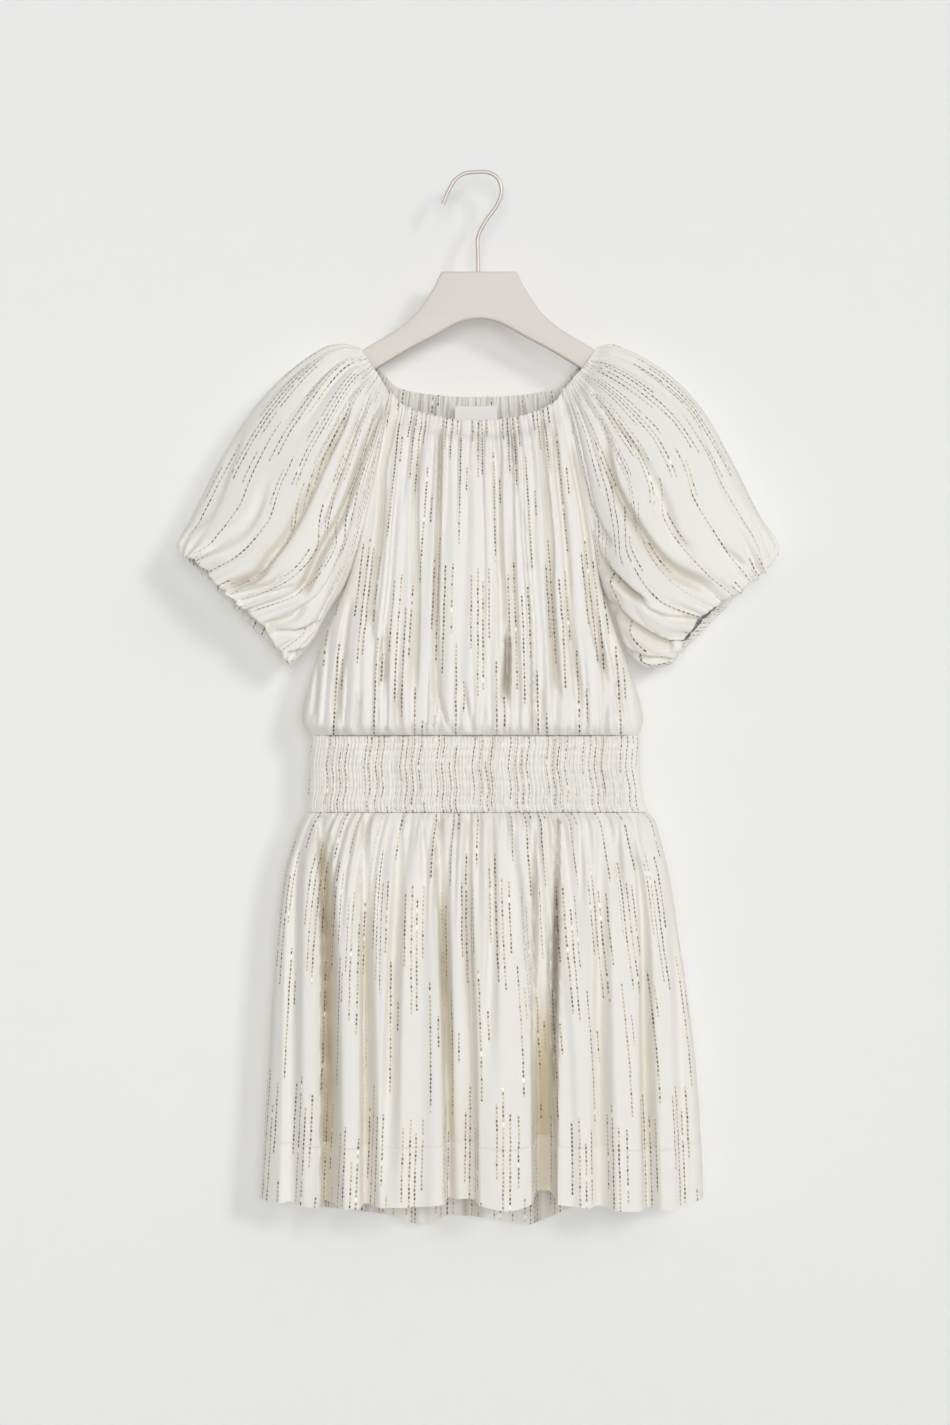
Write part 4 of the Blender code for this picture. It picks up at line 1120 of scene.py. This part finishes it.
def sleeve(name, raglan, tops, under_seam, outward, flows, front_creases, seed, flat):
    """A balloon sleeve: its front follows the sweep of the warp, its back runs straight across."""
    body = columns_of(BODY_COLUMNS, BODICE_ROWS)
    top = columns_of(SLEEVE_COLUMNS, tops)
    knots = np.arange(len(tops), dtype=float)
    rows = np.linspace(0, len(tops) - 1, SLEEVE_DOWN)
    open_rows = UNDERARM_ROW + 1
    seam_x = np.concatenate([body[raglan][:open_rows], [x for x, _ in under_seam]])
    seam_z = np.concatenate([body["level"][:open_rows], [z for _, z in under_seam]])
    closed = np.zeros(len(tops) - open_rows)
    found = {key: eased(rows, knots, top[key])[:, None] for key in SLEEVE_COLUMNS}
    at_x = eased(rows, knots, seam_x)[:, None] + outward * RAGLAN_GAP
    at_z = eased(rows, knots, seam_z)[:, None]
    lift = eased(rows, knots, np.concatenate([body["lift_back"][:open_rows], closed]))[:, None]
    sweep_x = [at_x[:, 0]] + [eased(rows, FLOW_ROWS, [x / 1000 for x, _ in flow]) for flow in flows]
    sweep_z = [at_z[:, 0]] + [eased(rows, FLOW_ROWS, [z / 1000 for _, z in flow]) for flow in flows]
    sweep_x = np.stack(sweep_x + [found["top_x"][:, 0]], axis=1)
    sweep_z = np.stack(sweep_z + [found["top_z"][:, 0]], axis=1)
    half = SLEEVE_SPREAD // 2
    points = np.zeros((SLEEVE_DOWN, SLEEVE_SPREAD + 1, 3))
    relief = np.zeros((SLEEVE_DOWN, SLEEVE_SPREAD + 1))
    spread = np.linspace(-1, 1, SLEEVE_SPREAD + 1)
    from_neck = rows[:, None]
    from_cuff = (len(tops) - 1 - rows)[:, None]
    cuff = pipes(spread, CUFF_PIPES, seed + 2)[None, :]
    cuff_wide = pipes(spread, CUFF_FOLDS, seed + 3)[None, :]
    gathers = gathered(spread, seed, from_neck, SLEEVE_NECK_GATHERS)
    gathers = gathers + gathered(spread, seed, from_cuff, SLEEVE_CUFF_GATHERS)
    gathers = (gathers - SLEEVE_SUNK) * quiet_edges(spread, 10)
    for facing, side in ((-1, "front"), (1, "back")):
        seam_depth = np.concatenate([body["edge_" + side][:open_rows], closed]) + HALF_SEAM
        seam_depth = eased(rows, knots, seam_depth)[:, None]
        puff = found["puff_" + side]
        square = found["square"]
        from_z = at_z + (lift if facing > 0 else 0)
        start = np.arcsin(np.clip((seam_depth / puff) ** (1 / square), 0, 1))
        angle = start + (math.pi - start) * np.linspace(0, 1, half + 1)[None, :]
        place = (np.cos(start) - np.cos(angle)) / (np.cos(start) + 1)
        reach_x = found["top_x"] - at_x
        reach_z = found["top_z"] - from_z
        length = np.hypot(reach_x, reach_z)
        x = at_x + place * reach_x
        z = from_z + place * reach_z
        if facing < 0:
            x = np.stack([eased(p, FLOW_PLACES, row) for p, row in zip(place, sweep_x)])
            z = np.stack([eased(p, FLOW_PLACES, row) for p, row in zip(place, sweep_z)])
        depth = puff * np.clip(np.sin(angle), 0, 1) ** square
        lean = np.arctan2(np.sin(angle) * length / 2, -np.cos(angle) * puff)
        creases = front_creases
        if facing > 0:
            creases = [
                (tuple((outward * px, pz) for px, pz in path), *rest)
                for path, *rest in SLEEVE_BACK_CREASES
            ]
        sunk, _ = crease_field(x, z, creases, *SLEEVE_CREASE_TOPS)
        sunk = np.minimum(sunk, DEEPEST_SHARE * np.maximum(depth - seam_depth * (1 - place), 0) + 0.0001)
        span = slice(0, half + 1) if facing < 0 else slice(SLEEVE_SPREAD, half - 1, -1)
        move = gathers[:, span] - sunk
        x = x + np.cos(lean) * move * reach_x / length
        z = z + np.cos(lean) * move * reach_z / length
        points[:, span] = np.stack([x, facing * (depth + np.sin(lean) * move), z], axis=-1)
        relief[:, span] = move

    # Each fold spills past the cuff, whose edge then rolls under on its elastic
    onward = points[-1] - points[-8]
    onward[:, 1] = 0
    onward /= np.linalg.norm(onward, axis=1)[:, None]
    spill = (cuff_wide * SPILL_FOLDS + cuff * SPILL_PIPES) * SCALLOP
    spill = spill * smooth((SPILL_ROWS - from_cuff) / SPILL_ROWS)
    points += spill[:, :, None] * onward[None, :, :]
    middle = points[-1].mean(axis=0)
    rolled = []
    for k in range(1, ROLL_STEPS + 1):
        turn = k / ROLL_STEPS * math.pi / 2
        ring = points[-1] - onward * ROLL_UP * (1 - math.cos(turn))
        ring = ring + onward * ROLL_OUT * math.sin(2 * turn)
        ring = ring + (middle - ring) * (0, 1, 0) * ROLL_NARROWER * math.sin(turn)
        rolled.append(ring)
    points = np.concatenate([points, np.array(rolled)])
    relief = np.concatenate([relief, np.repeat(relief[-1:], ROLL_STEPS, axis=0)])

    widest = int(SLEEVE_DOWN * WIDEST_SHARE)
    steps = np.linalg.norm(np.diff(points, axis=0), axis=2)
    along = np.concatenate([np.zeros((1, steps.shape[1])), np.cumsum(steps, axis=0)])
    piece = cloth_piece(
        name,
        points,
        laid_across(points, widest, flat[0]) * SLEEVE_LINES + SLEEVE_CHART[0],
        along * SLEEVE_RUN + SLEEVE_CHART[1],
        # Painted shade in the folds' valleys
        painted_valley_shade(relief, *SLEEVE_HOLLOW) * SLEEVE_SHADE,
        outward < 0,
    )
    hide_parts(name.replace("_crepe", ""))
    return piece


sleeve(
    "sleeve_left_crepe",
    "left",
    SLEEVE_TOP_LEFT,
    UNDER_SEAM_LEFT,
    -1,
    FLOW_LEFT,
    SLEEVE_LEFT_CREASES,
    53,
    (0.470, 0.350),
)
sleeve(
    "sleeve_right_crepe",
    "right",
    SLEEVE_TOP_RIGHT,
    UNDER_SEAM_RIGHT,
    1,
    FLOW_RIGHT,
    SLEEVE_RIGHT_CREASES,
    67,
    (0.470, 0.350),
)

# Label and size tab
# A woven satin label and a small tab under it, sewn inside the back of the neck. Both are bare.
tape = Nodes("label_satin")
tape_at = tape.add("ShaderNodeTexCoord", {}, {}, 3)
ribs = {"Vector": tape_at, "Scale": 700, "Distortion": 0.4}
rib = tape.add("ShaderNodeTexWave", {"bands_direction": "X"}, ribs)
tape.feed("Base Color", tape.mix_colour(rib, (0.84, 0.825, 0.78, 1), (0.90, 0.89, 0.86, 1)))
tape.feed("Roughness", rib * 0.15 + 0.38)
tape.feed("Sheen Weight", 0.2)
tape.bump(rib, 0.15, 0.0002)
for node in ("neck_label", "size_tab"):
    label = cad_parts[node]
    label.data.materials.clear()
    label.data.materials.append(tape.material)
